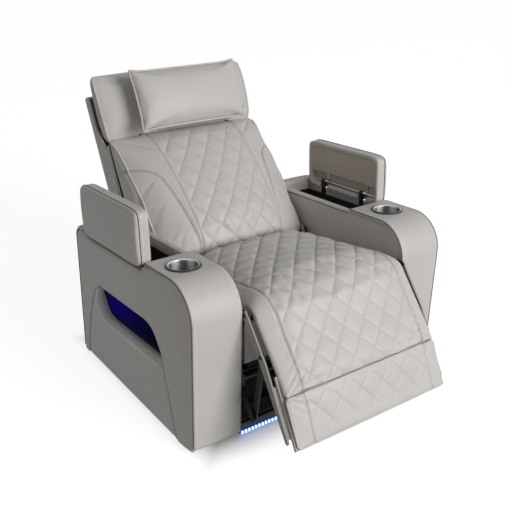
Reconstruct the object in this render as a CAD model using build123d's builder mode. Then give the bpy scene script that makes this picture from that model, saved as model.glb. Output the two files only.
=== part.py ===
from build123d import *
import os
from math import cos, hypot, radians, sin, tan

# A power recliner with storage arms, in millimetres. +Z is up, the sitter faces -Y and the
# sitter's left is +X. The origin is on the floor under the middle of the chair as it rests:
# back part reclined, legrest part out, arm lids open.

# Arms
SEAT_WIDTH = 600.0
ARM_WIDTH = 168.0
ARM_LENGTH = 700.0
ARM_FRONT_Y = -360.0
ARM_HEIGHT = 517.0
ARM_SLOPE = 4.0
ARM_FRONT_RADIUS = 105.0
ARM_REAR_RADIUS = 45.0
COVER = 12.0
BOARD = 12.0
SEAM_ROUND = 3.0
GLIDE_HEIGHT = 15.0
GLIDE_RADIUS = 22.0
GLIDE_INSET = 42.0

# Storage bin and cup holder in each arm
BIN_FRONT_Y = -105.0
REAR_BLOCK = 75.0
BIN_FLOOR_Z = 338.0
BIN_WALL = 3.0
BIN_RIM_DROP = 30.0
HINGE_SPACE = 8.0
CUP_Y = -195.0
CUP_RADIUS = 40.0
CUP_DEPTH = 75.0
CUP_WALL = 1.5
CUP_RIM_RADIUS = 51.0
CUP_RIM_HEIGHT = 4.0
CUP_FIT = 0.5
DECK_LENGTH = 140.0

# Side pocket of each arm
POCKET_Y = -208.0
POCKET_Z = 244.0
POCKET_REAR_INSET = 190.0
POCKET_HEIGHT = 82.0
POCKET_FALL = 20.0
POCKET_FRONT_LEAN = 60.0
POCKET_REAR_LEAN = 28.0
POCKET_LARGE_RADIUS = 40.0
POCKET_SMALL_RADIUS = 8.0
POCKET_MARGIN = 8.0
POCKET_DEPTH = 82.0
LINER_WALL = 3.0
LIGHT_LENGTH = 160.0
LIGHT_WIDTH = 8.0
LIGHT_THICKNESS = 3.0
PANEL_FRONT_FOOT_INSET = 78.0
PANEL_REAR_FOOT_INSET = 48.0
PANEL_REAR_TOP_INSET = 125.0
PANEL_REAR_TOP_Z = 278.0
PANEL_PUFF = 5.0

# Arm lids, drawn open: offsets are from the hinge axis
LID_END_GAP = 4.0
LID_SIDE_GAP = 2.0
LID_AXIS_RISE = 16.0
LID_SWING_GAP = 4.0
LID_FACE = 9.0
LID_PAD = 22.0
LID_RIM = 24.0
LID_RIM_WIDTH = 16.0
LID_BOARD = 4.0
LID_ROUND = 10.0
LID_CORNER = 16.0
LID_CROWN = 4.0
HINGE_SPACING = 200.0
HINGE_ROD_RADIUS = 4.0
HINGE_BARREL = 7.0
HINGE_FIT = 0.06
HINGE_LEAF_WIDTH = 18.0
HINGE_LEAF_LENGTH = 80.0
HINGE_LEAF = 6.0
HINGE_STRAP_WIDTH = 14.0
HINGE_STRAP_LENGTH = 60.0
HINGE_GAP = 1.0
HINGE_RECESS = 6.0
HINGE_ROD_INSET = 26.0

# Base
CROSS_TUBE = 30.0
CROSS_TUBE_Z = 24.0
CROSS_FRONT_Y = -300.0
CROSS_REAR_Y = 240.0
TUBE_WALL = 2.0
RAIL_WIDTH = 25.0
RAIL_HEIGHT = 40.0
RAIL_FRONT_Y = -320.0
RAIL_REAR_Y = 300.0
TOE_Y = -356.0
TOE_THICKNESS = 12.0
TOE_Z = 8.0
TOE_HEIGHT = 34.0
TOE_LIGHT_HEIGHT = 9.0
TOE_LIGHT_THICKNESS = 3.0

# Side plates and pivots: K is the knee hinge, P the back hinge, A the swing arms' pivot
PLATE = 4.0
PLATE_GAP = 9.0
LINK = 5.0
LINK_GAP = 1.0
LINK_WIDTH = 24.0
PIN_RADIUS = 6.0
PIN_FIT = 0.05
OPEN_PIN_FIT = 0.4
PLATE_LOBE = 20.0
PLATE_BRIDGE = 100.0
PLATE_HEEL = 60.0
PLATE_FOOT = 40.0
PLATE_FOOT_HEIGHT = 80.0
PLATE_THROAT = 60.0
PLATE_ROUND = 8.0
PLATE_WINDOW_LENGTH = 200.0
PLATE_WINDOW_HEIGHT = 80.0
PLATE_SAG = 17.5
KNEE_Y = -362.0
KNEE_Z = 400.0
SWING_BACK = 30.0
SWING_DOWN = 215.0
SWING_LENGTH = 120.0
TORQUE_TUBE_RADIUS = 12.0
BACK_PIVOT_Y = 115.0
BACK_PIVOT_Z = 345.0
BACK_PIN_RADIUS = 8.0

# Seat
SEAT_TILT = 10.0
SEAT_FRONT_Z = 350.0
SEAT_FRONT_EDGE_Y = -330.0
SEAT_REAR_Y = 55.0
SEAT_THICKNESS = 75.0
SEAT_CROWN = 42.0
SEAT_END_DROP = 16.0
SEAT_CLEARANCE = 2.0
SEAT_STATIONS = ((0, 1), (0.12, 0), (0.5, 0), (0.85, 0), (1, 1))
CUSHION_TUCK = 12.0
CHANNEL = 5.0
CHANNEL_DEPTH = 6.0
QUILT_BORDER = 57.0
SEAT_FRAME_FRONT_Y = -335.0
SEAT_FRAME_REAR_Y = 32.0
SEAT_FRAME_DEPTH = 70.0
SPRING_WIRE = 4.0
SPRING_COUNT = 5
SPRING_SPACING = 105.0
SPRING_RUNS = 9
SPRING_SWING = 60.0
SPRING_BEND = 8.0
FRONT_PANEL = 15.0
FRONT_PANEL_LOW_Z = 235.0
FRONT_PANEL_TOP_Z = 366.0
FRONT_PANEL_ROUND = 5.0
SOFT_GAP = 0.4

# Legrest, drawn along its own slope: distances down it start at the knee hinge
LEG_TILT = 38.75
LEG_ROLL = 30.0
LEG_SEAM = 243.0
LEG_END = 384.0
LEG_FRONT = 33.0
LEG_CROWN = 17.0
LEG_TOE = -8.0
LEG_BORDER = 24.0
LEG_BORDER_RISE = 3.4
LEG_SIDE_DROP = 5.7
LEG_TOE_SHARE = 0.33
LEG_HEM = 4.0
LEG_BOARD = 9.0
LEG_BOARD_START = 181.0
LEG_BOARD_OFFSET = 7.0
LEG_BOARD_FALL = 31.0
LEG_SIDE_GAP = 3.0
LEG_FLANGE = 4.0
LEG_FLANGE_WIDTH = 47.0

# Back and headrest, drawn along the reclined back from its hinge
BACK_RECLINE = 26.5
BACK_REAR = -226.0
BACK_SEAT = -150.0
BACK_LOW = -70.0
BACK_TOP = 611.0
BACK_SHOULDER = 400.0
BACK_NECK = 500.0
BACK_NECK_FRONT = -196.0
BACK_SHELL = 8.0
BACK_SHELL_SIDE = 6.0
BACK_SHELL_LOW = 20.0
BACK_SIDE_GAP = 8.0
BACK_STILE = 20.0
BACK_PANEL = 12.0
CUSHION_SIDE_GAP = 7.0
BACK_TUBE_RADIUS = 10.0
BACK_TUBE_UP = -88.0
BACK_TUBE_FORWARD = -65.0
BACK_FIELD_TOP = 165.0
BACK_FIELD_LOW = 140.0
BACK_SEAM_UP = 275.0
BACK_SEAM_SIDE_UP = 329.0
BRACKET_LOBE = 18.0
BRACKET_ARM = 30.0
BRACKET_HEEL = 54.0
BRACKET_TOP = 216.0
BACK_STATIONS = (
    (40, 20, 106),
    (120, 2, 93),
    (220, -15, 55),
    (320, -58, 8),
    (400, -95, -35),
    (422, -122, -78),
)
HEAD_PIVOT_UP = 440.0
HEAD_PIVOT_FORWARD = -130.0
HEAD_PIN_RADIUS = 4.0
HEAD_BARREL = 7.0
HEAD_HINGE_SPACING = 320.0
HEAD_HINGE_WIDTH = 16.0
HEAD_STRAP_REACH = 32.0
HEAD_LOW = 450.0
HEAD_STATIONS = (
    (0, -4, -168, -142, -118),
    (30, 6, -172, -132, -93),
    (110, 10, -166, -126, -80),
    (190, 8, -160, -132, -95),
    (214, 0, -158, -142, -124),
)
HEAD_TUCK = 6.0
PILLOW_HALF = 205.0
PILLOW_UP = 542.0
PILLOW_HALF_HEIGHT = 102.0
PILLOW_FRONT = 0.0
PILLOW_STATIONS = ((1.0, 0.72, 0.3), (0.8, 0.94, 0.8), (0, 1.0, 1.0))
PILLOW_SEAM_SHARE = 0.125

# Actuators, power supply and controls
ACTUATOR_X = 60.0
ACTUATOR_RAIL = 30.0
ACTUATOR_RAIL_HEIGHT = 25.0
ACTUATOR_FRONT_Y = -384.0
MOTOR_Y = -200.0
MOTOR_LENGTH = 90.0
MOTOR_RADIUS = 22.0
MOTOR_CAN_RADIUS = 18.0
LEVER_LENGTH = 45.0
LEVER_LAG = 14.0
LEVER_PIN_RADIUS = 5.0
LEVER = 8.0
LEVER_WIDTH = 16.0
LEVER_PIN_END = 1.0
FORK_CHEEK = 6.0
FORK_ROUND = 4.0
FORK_LENGTH = 44.0
FORK_SLOT_FIT = 2.5
FORK_RISE = 24.0
FORK_UNDER = 8.0
CARRIAGE_HEIGHT = 25.0
SLIDE_GAP = 0.3
SUPPLY_LENGTH = 120.0
SUPPLY_WIDTH = 60.0
SUPPLY_HEIGHT = 52.0
SUPPLY_INSET = 130.0
SUPPLY_ROUND = 4.0
INLET_WIDTH = 22.0
INLET_HEIGHT = 14.0
INLET_DEPTH = 12.0
CONTROL_Y = -75.0
CONTROL_DROP = 42.0
CONTROL_LENGTH = 132.0
CONTROL_HEIGHT = 36.0
CONTROL_THICKNESS = 6.0
BUTTON_RADIUS = 9.0
BUTTON_SPACING = 29.0
BUTTON_PROUD = 1.6
BUTTON_TRAVEL = 1.2
BUTTON_FIT = 0.25
BUTTON_BEHIND = 0.5
BUTTON_CHAMFER = 0.8
BUTTON_NAMES = ("recline", "upright", "headrest", "light")

# Places worked out from the sizes above
ARM_IN = SEAT_WIDTH / 2
ARM_OUT = ARM_IN + ARM_WIDTH
ARM_MID = (ARM_IN + ARM_OUT) / 2
ARM_REAR_Y = ARM_FRONT_Y + ARM_LENGTH
CAVITY_IN = ARM_IN + COVER + BOARD
CAVITY_OUT = ARM_OUT - COVER - BOARD
CAVITY_WIDTH = CAVITY_OUT - CAVITY_IN
BIN_REAR_Y = ARM_REAR_Y - REAR_BLOCK
BIN_LENGTH = BIN_REAR_Y - BIN_FRONT_Y
BIN_MID_Y = BIN_FRONT_Y + BIN_LENGTH / 2
POCKET_LENGTH = ARM_REAR_Y - POCKET_REAR_INSET - POCKET_Y
SLOPE = radians(ARM_SLOPE)
LID_AXIS_X = CAVITY_OUT
LID_LENGTH = BIN_LENGTH - 2 * LID_END_GAP
HINGE_ROD_LENGTH = LID_LENGTH - 2 * HINGE_ROD_INSET
LID_DROP = ARM_OUT - LID_AXIS_X
LID_REACH = LID_AXIS_X - ARM_IN - LID_SIDE_GAP
WALL_NOTCH = hypot(LID_DROP, LID_FACE - LID_RIM) - LID_AXIS_RISE + LID_SWING_GAP
PLATE_OUT = ARM_IN - PLATE_GAP
PLATE_IN = PLATE_OUT - PLATE
RAIL_IN = PLATE_IN - RAIL_WIDTH
RAIL_Z = CROSS_TUBE_Z + CROSS_TUBE
LINK_IN = PLATE_OUT + LINK_GAP
LINK_OUT = LINK_IN + LINK
COUPLER_OUT = LINK_IN - LINK_GAP - LINK_GAP / 2
COUPLER_IN = COUPLER_OUT - LINK
SEAT_HALF = PLATE_IN - SEAT_CLEARANCE
LEG_HALF = PLATE_IN - LEG_SIDE_GAP
TILT = radians(LEG_TILT)
LEG_DOWN = (0, -sin(TILT), -cos(TILT))
RECLINE = radians(BACK_RECLINE)
BACK_UP = (0, sin(RECLINE), cos(RECLINE))
SHELL_HALF = ARM_IN - BACK_SIDE_GAP
SHELL_IN = SHELL_HALF - BACK_SHELL_SIDE
BRACKET_OUT = SHELL_IN
BRACKET_IN = BRACKET_OUT - LINK
CUSHION_HALF = ARM_IN - CUSHION_SIDE_GAP
A_PIVOT = (KNEE_Y + SWING_BACK, KNEE_Z - SWING_DOWN)
C_PIVOT = (KNEE_Y - SWING_LENGTH * sin(TILT), KNEE_Z - SWING_LENGTH * cos(TILT))
B_PIVOT = (C_PIVOT[0] + SWING_BACK, C_PIVOT[1] - SWING_DOWN)
LEVER_PIN = (
    A_PIVOT[0] + LEVER_LENGTH * sin(radians(LEVER_LAG)),
    A_PIVOT[1] - LEVER_LENGTH * cos(radians(LEVER_LAG)),
)
BACK_TUBE = (
    BACK_PIVOT_Y + BACK_TUBE_UP * sin(RECLINE) - BACK_TUBE_FORWARD * cos(RECLINE),
    BACK_PIVOT_Z + BACK_TUBE_UP * cos(RECLINE) + BACK_TUBE_FORWARD * sin(RECLINE),
)
ACTUATOR_TOP = RAIL_Z + ACTUATOR_RAIL_HEIGHT
LEG_EDGE = LEG_HALF - LEG_BORDER
LEG_STATIONS = (
    (LEG_HALF, -LEG_SIDE_DROP),
    (LEG_EDGE, LEG_BORDER_RISE),
    (0, LEG_CROWN),
    (-LEG_EDGE, LEG_BORDER_RISE),
    (-LEG_HALF, -LEG_SIDE_DROP),
)
CONTROL_Z = ARM_HEIGHT - COVER - tan(SLOPE) * (CONTROL_Y - ARM_FRONT_Y) - CONTROL_DROP
HEAD_CROWN = max(station[-1] for station in HEAD_STATIONS)
PILLOW_MID = (PILLOW_FRONT + HEAD_CROWN) / 2
PILLOW_REAR = HEAD_CROWN + SOFT_GAP

os.makedirs("parts", exist_ok=True)


def save(piece, name):
    """Label a finished piece and write its file."""
    piece.label = name
    export_step(piece, f"parts/{name}.step")


def save_pair(piece, name):
    """Write a piece of the sitter's left side and its mirror image on the right."""
    twin = mirror(piece, about=Plane.YZ)
    save(piece, f"{name}_left")
    save(twin, f"{name}_right")


def save_both(pieces, name):
    """Write left-hand pieces and their mirror images together as one node."""
    save(Compound(children=[*pieces, *[mirror(piece, about=Plane.YZ) for piece in pieces]]), name)


def arm_top(y):
    """Height of the arm's sloping top line."""
    return ARM_HEIGHT - tan(SLOPE) * (y - ARM_FRONT_Y)


def ledge(y):
    """Height of the compartment's edge, one cover thickness under the top line."""
    return arm_top(y) - COVER


def seat_base(y):
    """Height of the seat cushion's underside."""
    return SEAT_FRONT_Z - tan(radians(SEAT_TILT)) * (y - SEAT_FRONT_EDGE_Y)


def seat_section(y):
    """Upright plane across the seat: sketch x is X and sketch y is Z."""
    return Plane(origin=(0, y, 0), x_dir=(1, 0, 0), z_dir=(0, -1, 0))


def lid_plane(forward=0.0):
    """Plane square to the lid's hinge axis, forward of its middle."""
    origin = (LID_AXIS_X, BIN_MID_Y, ledge(BIN_MID_Y) + LID_AXIS_RISE)
    return Plane(origin=origin, x_dir=(1, 0, 0), z_dir=(0, -cos(SLOPE), sin(SLOPE))).offset(forward)


def leg_side(x):
    """Side plane of the legrest: sketch x runs down it, sketch y points to its padded front."""
    return Plane(origin=(x, KNEE_Y, KNEE_Z), x_dir=LEG_DOWN, z_dir=(-1, 0, 0))


def back_side(x):
    """Side plane of the back: sketch x runs up it, sketch y points to its padded front."""
    return Plane(origin=(x, BACK_PIVOT_Y, BACK_PIVOT_Z), x_dir=BACK_UP, z_dir=(1, 0, 0))


def back_front(forward):
    """Plane along the back: sketch x is X, sketch y runs up it."""
    origin = (0, BACK_PIVOT_Y - forward * BACK_UP[2], BACK_PIVOT_Z + forward * BACK_UP[1])
    return Plane(origin=origin, x_dir=(1, 0, 0), z_dir=(0, -BACK_UP[2], BACK_UP[1]))


def back_section(up):
    """Plane across the back: sketch x is X, sketch y points to the padded front."""
    origin = (0, BACK_PIVOT_Y + up * BACK_UP[1], BACK_PIVOT_Z + up * BACK_UP[2])
    return Plane(origin=origin, x_dir=(1, 0, 0), z_dir=(0, -BACK_UP[1], -BACK_UP[2]))


def link_plane(x, start, end):
    """Side plane centred between two pivots with sketch x along the link."""
    middle = (x, (start[0] + end[0]) / 2, (start[1] + end[1]) / 2)
    along = (0, end[0] - start[0], end[1] - start[1])
    return Plane(origin=middle, x_dir=along, z_dir=(1, 0, 0))


def crowned_outline(half, low, edge, crown, tuck):
    """Cushion section: flat base, sides drawn in at the seams, one crown arc across the top."""
    middle = (low + edge) / 2
    with BuildLine() as outline:
        Line((-half + tuck, low), (half - tuck, low))
        ThreePointArc((half - tuck, low), (half, middle), (half - tuck, edge))
        ThreePointArc((half - tuck, edge), (0, crown), (-half + tuck, edge))
        ThreePointArc((-half + tuck, edge), (-half, middle), (-half + tuck, low))
    make_face(outline.edges())


def wall_outline(notch):
    """Arm side inside the wrapped covers, with the compartment's stretch lowered by notch."""
    front = ARM_FRONT_Y + COVER
    rear = ARM_REAR_Y - COVER
    points = [(front, GLIDE_HEIGHT), (front, ledge(front))]
    radii = [0, ARM_FRONT_RADIUS - COVER]
    if notch:
        points += [(BIN_FRONT_Y, ledge(BIN_FRONT_Y)), (BIN_FRONT_Y, ledge(BIN_FRONT_Y) - notch)]
        points += [(BIN_REAR_Y, ledge(BIN_REAR_Y) - notch), (BIN_REAR_Y, ledge(BIN_REAR_Y))]
        radii += [0, 0, 0, 0]
    points += [(rear, ledge(rear)), (rear, GLIDE_HEIGHT)]
    radii += [ARM_REAR_RADIUS - COVER, 0]
    with BuildLine() as outline:
        FilletPolyline(*points, radius=radii, close=True)
    make_face(outline.edges())


def pocket_slot(mode=Mode.ADD):
    """Slanted side pocket mouth: large corners at its front top and rear bottom."""
    low_front = (POCKET_Y, POCKET_Z)
    high_front = (POCKET_Y + POCKET_FRONT_LEAN, POCKET_Z + POCKET_HEIGHT)
    low_rear = (POCKET_Y + POCKET_LENGTH, POCKET_Z - POCKET_FALL)
    high_rear = (low_rear[0] + POCKET_REAR_LEAN, low_rear[1] + POCKET_HEIGHT)
    radii = [POCKET_SMALL_RADIUS, POCKET_LARGE_RADIUS, 2 * POCKET_SMALL_RADIUS, POCKET_LARGE_RADIUS]
    with BuildLine() as outline:
        FilletPolyline(low_front, high_front, high_rear, low_rear, radius=radii, close=True)
    make_face(outline.edges(), mode=mode)


def pocket_panel_outline(mode=Mode.ADD):
    """Padded panel below the pocket, between its two slanting seams."""
    with BuildLine() as outline:
        Polyline(
            (ARM_FRONT_Y + PANEL_FRONT_FOOT_INSET, GLIDE_HEIGHT),
            (POCKET_Y, POCKET_Z),
            (ARM_REAR_Y - PANEL_REAR_TOP_INSET, PANEL_REAR_TOP_Z),
            (ARM_REAR_Y - PANEL_REAR_FOOT_INSET, GLIDE_HEIGHT),
            close=True,
        )
    make_face(outline.edges(), mode=mode)


def cup_plane():
    """Plane through the cup's axis: sketch x is the radius, sketch y runs up the axis."""
    origin = (ARM_MID, CUP_Y, arm_top(CUP_Y))
    return Plane(origin=origin, x_dir=(1, 0, 0), z_dir=(0, -cos(SLOPE), sin(SLOPE)))


def cup_hole(radius):
    """Cut the cup holder's hole through the piece being built."""
    plane = Plane(origin=(ARM_MID, CUP_Y, arm_top(CUP_Y)), z_dir=(0, sin(SLOPE), cos(SLOPE)))
    with BuildSketch(plane) as hole:
        Circle(radius)
    extrude(hole.sketch, amount=CUP_DEPTH, both=True, mode=Mode.SUBTRACT)


def side_board(start, end, low, high):
    """Upright board across the arm's cavity, its top following the slope of the arm."""
    with BuildPart() as board:
        with BuildSketch(Plane.YZ.offset(CAVITY_IN)):
            with BuildLine():
                Polyline((start, low), (start, high(start)), (end, high(end)), (end, low), close=True)
            make_face()
        extrude(amount=CAVITY_WIDTH)
    return board.part


def arm_boards():
    """Plywood boards of one arm's carcass."""
    floor = GLIDE_HEIGHT + BOARD
    front = ARM_FRONT_Y + COVER
    rear = ARM_REAR_Y - COVER
    with BuildPart() as inner:
        with BuildSketch(Plane.YZ.offset(ARM_IN + COVER)):
            wall_outline(0)
        extrude(amount=BOARD)
    with BuildPart() as outer:
        with BuildSketch(Plane.YZ.offset(CAVITY_OUT)):
            wall_outline(WALL_NOTCH)
            pocket_slot(Mode.SUBTRACT)
        extrude(amount=BOARD)
    with BuildPart() as deck:
        with BuildSketch(Plane.YZ.offset(CAVITY_IN)):
            start = BIN_FRONT_Y - DECK_LENGTH
            with BuildLine():
                Polyline(
                    (start, ledge(start)),
                    (BIN_FRONT_Y, ledge(BIN_FRONT_Y)),
                    (BIN_FRONT_Y, ledge(BIN_FRONT_Y) - BOARD),
                    (start, ledge(start) - BOARD),
                    close=True,
                )
            make_face()
        extrude(amount=CAVITY_WIDTH)
        cup_hole(CUP_RADIUS + CUP_WALL + CUP_FIT)
    return [
        inner.part,
        outer.part,
        deck.part,
        side_board(front, rear, GLIDE_HEIGHT, lambda y: floor),
        side_board(front, front + BOARD, floor, lambda y: ledge(y) - ARM_FRONT_RADIUS),
        side_board(BIN_FRONT_Y - BOARD, BIN_FRONT_Y, BIN_FLOOR_Z, lambda y: ledge(y) - BOARD),
        side_board(BIN_REAR_Y, BIN_REAR_Y + BOARD, BIN_FLOOR_Z, ledge),
        side_board(rear - BOARD, rear, floor, lambda y: ledge(y) - ARM_REAR_RADIUS),
    ]


def arm_inner_cover():
    """Padded leather panel on the seat side of the arm."""
    with BuildPart() as cover:
        with BuildSketch(Plane.YZ.offset(ARM_IN)):
            wall_outline(0)
        extrude(amount=COVER)
        seam = cover.edges().filter_by_position(Axis.X, ARM_IN - SEAM_ROUND, ARM_IN + SEAM_ROUND)
        fillet(seam, SEAM_ROUND)
    return cover.part


def arm_outer_cover():
    """Padded leather panel on the outside, cut away for the pocket and the panel below it."""
    with BuildPart() as cover:
        with BuildSketch(Plane.YZ.offset(CAVITY_OUT + BOARD)):
            wall_outline(WALL_NOTCH)
            pocket_panel_outline(Mode.SUBTRACT)
            pocket_slot(Mode.SUBTRACT)
        extrude(amount=COVER)
        seam = cover.edges().filter_by_position(Axis.X, ARM_OUT - SEAM_ROUND, ARM_OUT + SEAM_ROUND)
        fillet(seam, SEAM_ROUND)
    return cover.part


def arm_pocket_panel():
    """Padded panel below the pocket mouth, standing a little proud."""
    with BuildPart() as panel:
        with BuildSketch(Plane.YZ.offset(CAVITY_OUT + BOARD)):
            pocket_panel_outline()
            pocket_slot(Mode.SUBTRACT)
        extrude(amount=COVER + PANEL_PUFF)
        outside = ARM_OUT + PANEL_PUFF
        rim = panel.edges().filter_by_position(Axis.X, outside - SEAM_ROUND, outside + SEAM_ROUND)
        fillet(rim, PANEL_PUFF)
    return panel.part


def arm_front_cover():
    """Leather strip that runs up the arm's front, round its corner and back to the lid."""
    front = ARM_FRONT_Y + COVER
    with BuildPart() as cover:
        with BuildSketch(Plane.YZ.offset(ARM_IN)):
            with BuildLine():
                FilletPolyline(
                    (ARM_FRONT_Y, GLIDE_HEIGHT),
                    (ARM_FRONT_Y, arm_top(ARM_FRONT_Y)),
                    (BIN_FRONT_Y, arm_top(BIN_FRONT_Y)),
                    (BIN_FRONT_Y, ledge(BIN_FRONT_Y)),
                    (front, ledge(front)),
                    (front, GLIDE_HEIGHT),
                    radius=[0, ARM_FRONT_RADIUS, 0, 0, ARM_FRONT_RADIUS - COVER, 0],
                    close=True,
                )
            make_face()
        extrude(amount=ARM_WIDTH)
        sides = cover.faces().filter_by(Axis.X).edges()
        fillet(sides, SEAM_ROUND)
        cup_hole(CUP_RADIUS + CUP_WALL + CUP_FIT)
    return cover.part


def arm_rear_cover():
    """Leather strip over the block behind the lid and down the arm's rear."""
    rear = ARM_REAR_Y - COVER
    with BuildPart() as cover:
        with BuildSketch(Plane.YZ.offset(ARM_IN)):
            with BuildLine():
                FilletPolyline(
                    (ARM_REAR_Y, GLIDE_HEIGHT),
                    (ARM_REAR_Y, arm_top(ARM_REAR_Y)),
                    (BIN_REAR_Y, arm_top(BIN_REAR_Y)),
                    (BIN_REAR_Y, ledge(BIN_REAR_Y)),
                    (rear, ledge(rear)),
                    (rear, GLIDE_HEIGHT),
                    radius=[0, ARM_REAR_RADIUS, 0, 0, ARM_REAR_RADIUS - COVER, 0],
                    close=True,
                )
            make_face()
        extrude(amount=ARM_WIDTH)
        sides = cover.faces().filter_by(Axis.X).edges()
        fillet(sides, SEAM_ROUND)
    return cover.part


def storage_bin():
    """Open tray under the lid, its rim following the slope of the arm."""
    low = BIN_FLOOR_Z + BIN_WALL
    front = BIN_FRONT_Y + BIN_WALL
    rear = BIN_REAR_Y - BIN_WALL
    width = CAVITY_WIDTH - HINGE_SPACE
    with BuildPart() as tray:
        with BuildSketch(Plane.YZ.offset(CAVITY_IN)):
            with BuildLine():
                Polyline(
                    (BIN_FRONT_Y, BIN_FLOOR_Z),
                    (BIN_FRONT_Y, ledge(BIN_FRONT_Y) - BIN_RIM_DROP),
                    (BIN_REAR_Y, ledge(BIN_REAR_Y) - BIN_RIM_DROP),
                    (BIN_REAR_Y, BIN_FLOOR_Z),
                    close=True,
                )
            make_face()
        extrude(amount=width)
        with BuildSketch(Plane.YZ.offset(CAVITY_IN + BIN_WALL)):
            with BuildLine():
                Polyline((front, low), (front, ARM_HEIGHT), (rear, ARM_HEIGHT), (rear, low), close=True)
            make_face()
        extrude(amount=width - 2 * BIN_WALL, mode=Mode.SUBTRACT)
    return tray.part


def cup_holder():
    """Drawn steel cup with a rolled rim that lies on the arm's top."""
    plane = cup_plane()
    outside = CUP_RADIUS + CUP_WALL
    with BuildPart() as cup:
        with BuildSketch(plane):
            with BuildLine():
                Polyline(
                    (0, -CUP_DEPTH),
                    (outside, -CUP_DEPTH),
                    (outside, 0),
                    (CUP_RIM_RADIUS, 0),
                )
                ThreePointArc(
                    (CUP_RIM_RADIUS, 0),
                    ((CUP_RIM_RADIUS + CUP_RADIUS) / 2, CUP_RIM_HEIGHT),
                    (CUP_RADIUS, 0),
                )
                Polyline(
                    (CUP_RADIUS, 0),
                    (CUP_RADIUS, CUP_WALL - CUP_DEPTH),
                    (0, CUP_WALL - CUP_DEPTH),
                    (0, -CUP_DEPTH),
                )
            make_face()
        revolve(axis=Axis(plane.origin, plane.y_dir))
    return cup.part


def pocket_liner():
    """Open box behind the pocket mouth."""
    low_y = POCKET_Y - POCKET_MARGIN
    high_y = POCKET_Y + POCKET_LENGTH + POCKET_REAR_LEAN + POCKET_MARGIN
    low_z = POCKET_Z - POCKET_FALL - POCKET_MARGIN
    high_z = POCKET_Z + POCKET_HEIGHT + POCKET_MARGIN
    with BuildPart() as box:
        with BuildSketch(Plane.YZ.offset(CAVITY_OUT - POCKET_DEPTH - LINER_WALL)):
            with Locations(((low_y + high_y) / 2, (low_z + high_z) / 2)):
                Rectangle(high_y - low_y, high_z - low_z)
        extrude(amount=POCKET_DEPTH + LINER_WALL)
        mouth = box.faces().sort_by(Axis.X)[-1]
        offset(amount=-LINER_WALL, openings=mouth)
    return box.part


def pocket_light():
    """Light strip under the pocket liner's ceiling."""
    high_z = POCKET_Z + POCKET_HEIGHT + POCKET_MARGIN - LINER_WALL
    rear = POCKET_Y + POCKET_LENGTH
    with BuildPart() as strip:
        with BuildSketch(Plane.XY.offset(high_z - LIGHT_THICKNESS)):
            with Locations((CAVITY_OUT - POCKET_DEPTH / 2, rear - LIGHT_LENGTH / 2)):
                SlotOverall(LIGHT_LENGTH, LIGHT_WIDTH, rotation=90)
        extrude(amount=LIGHT_THICKNESS)
    return strip.part


def lid_pad():
    """Padded lid standing open, its outer face crowned, its inner face framed by a soft rim."""
    high = LID_REACH
    low = -LID_DROP
    middle = (high + low) / 2
    outside = LID_FACE + LID_PAD
    rim = LID_FACE - LID_RIM
    hinge_width = HINGE_LEAF_WIDTH + HINGE_STRAP_WIDTH + HINGE_RECESS
    front_view = Plane(origin=lid_plane().origin, x_dir=(0, cos(SLOPE), -sin(SLOPE)), z_dir=(1, 0, 0))
    with BuildPart() as pad:
        with BuildSketch(front_view.offset(rim)):
            with Locations((0, middle)):
                RectangleRounded(LID_LENGTH, high - low, LID_CORNER)
        extrude(amount=LID_RIM + LID_PAD)
        with BuildSketch(lid_plane()) as section:
            with BuildLine():
                Polyline((outside - LID_CROWN, low), (rim, low), (rim, high), (outside - LID_CROWN, high))
                ThreePointArc((outside - LID_CROWN, high), (outside, middle), (outside - LID_CROWN, low))
            make_face()
            fillet(section.vertices().group_by(Axis.X)[-1], LID_ROUND)
        extrude(amount=LID_LENGTH, both=True, mode=Mode.INTERSECT)
        with BuildSketch(front_view.offset(rim)):
            with Locations((0, middle)):
                Rectangle(LID_LENGTH - 2 * LID_RIM_WIDTH, high - low - 2 * LID_RIM_WIDTH)
        extrude(amount=LID_RIM + LID_BOARD, mode=Mode.SUBTRACT)
        for side in (-1, 1):
            with BuildSketch(front_view.offset(rim)):
                with Locations((side * HINGE_SPACING / 2, low + LID_RIM_WIDTH / 2)):
                    Rectangle(hinge_width, LID_RIM_WIDTH)
            extrude(amount=LID_RIM, mode=Mode.SUBTRACT)
    return pad.part


def lid_board():
    """Stiff panel set into the lid's inner face."""
    height = LID_REACH + LID_DROP - 2 * LID_RIM_WIDTH
    middle = (LID_REACH - LID_DROP) / 2
    with BuildPart() as board:
        with BuildSketch(lid_plane()):
            with Locations((LID_FACE + LID_BOARD / 2, middle)):
                Rectangle(LID_BOARD, height)
        extrude(amount=LID_LENGTH / 2 - LID_RIM_WIDTH, both=True)
    return board.part


def hinge_start(side):
    """Forward offset at which one hinge's fixed leaf starts."""
    return side * HINGE_SPACING / 2 - (HINGE_LEAF_WIDTH + HINGE_GAP + HINGE_STRAP_WIDTH) / 2


def lid_leaf(side):
    """Fixed hinge leaf on the outer board, with its barrel round the rod."""
    with BuildPart() as leaf:
        with BuildSketch(lid_plane(hinge_start(side))):
            Circle(HINGE_BARREL)
            with Locations((-HINGE_LEAF / 2, -HINGE_LEAF_LENGTH / 2)):
                Rectangle(HINGE_LEAF, HINGE_LEAF_LENGTH)
            Circle(HINGE_ROD_RADIUS + HINGE_FIT, mode=Mode.SUBTRACT)
        extrude(amount=HINGE_LEAF_WIDTH)
    return leaf.part


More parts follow.
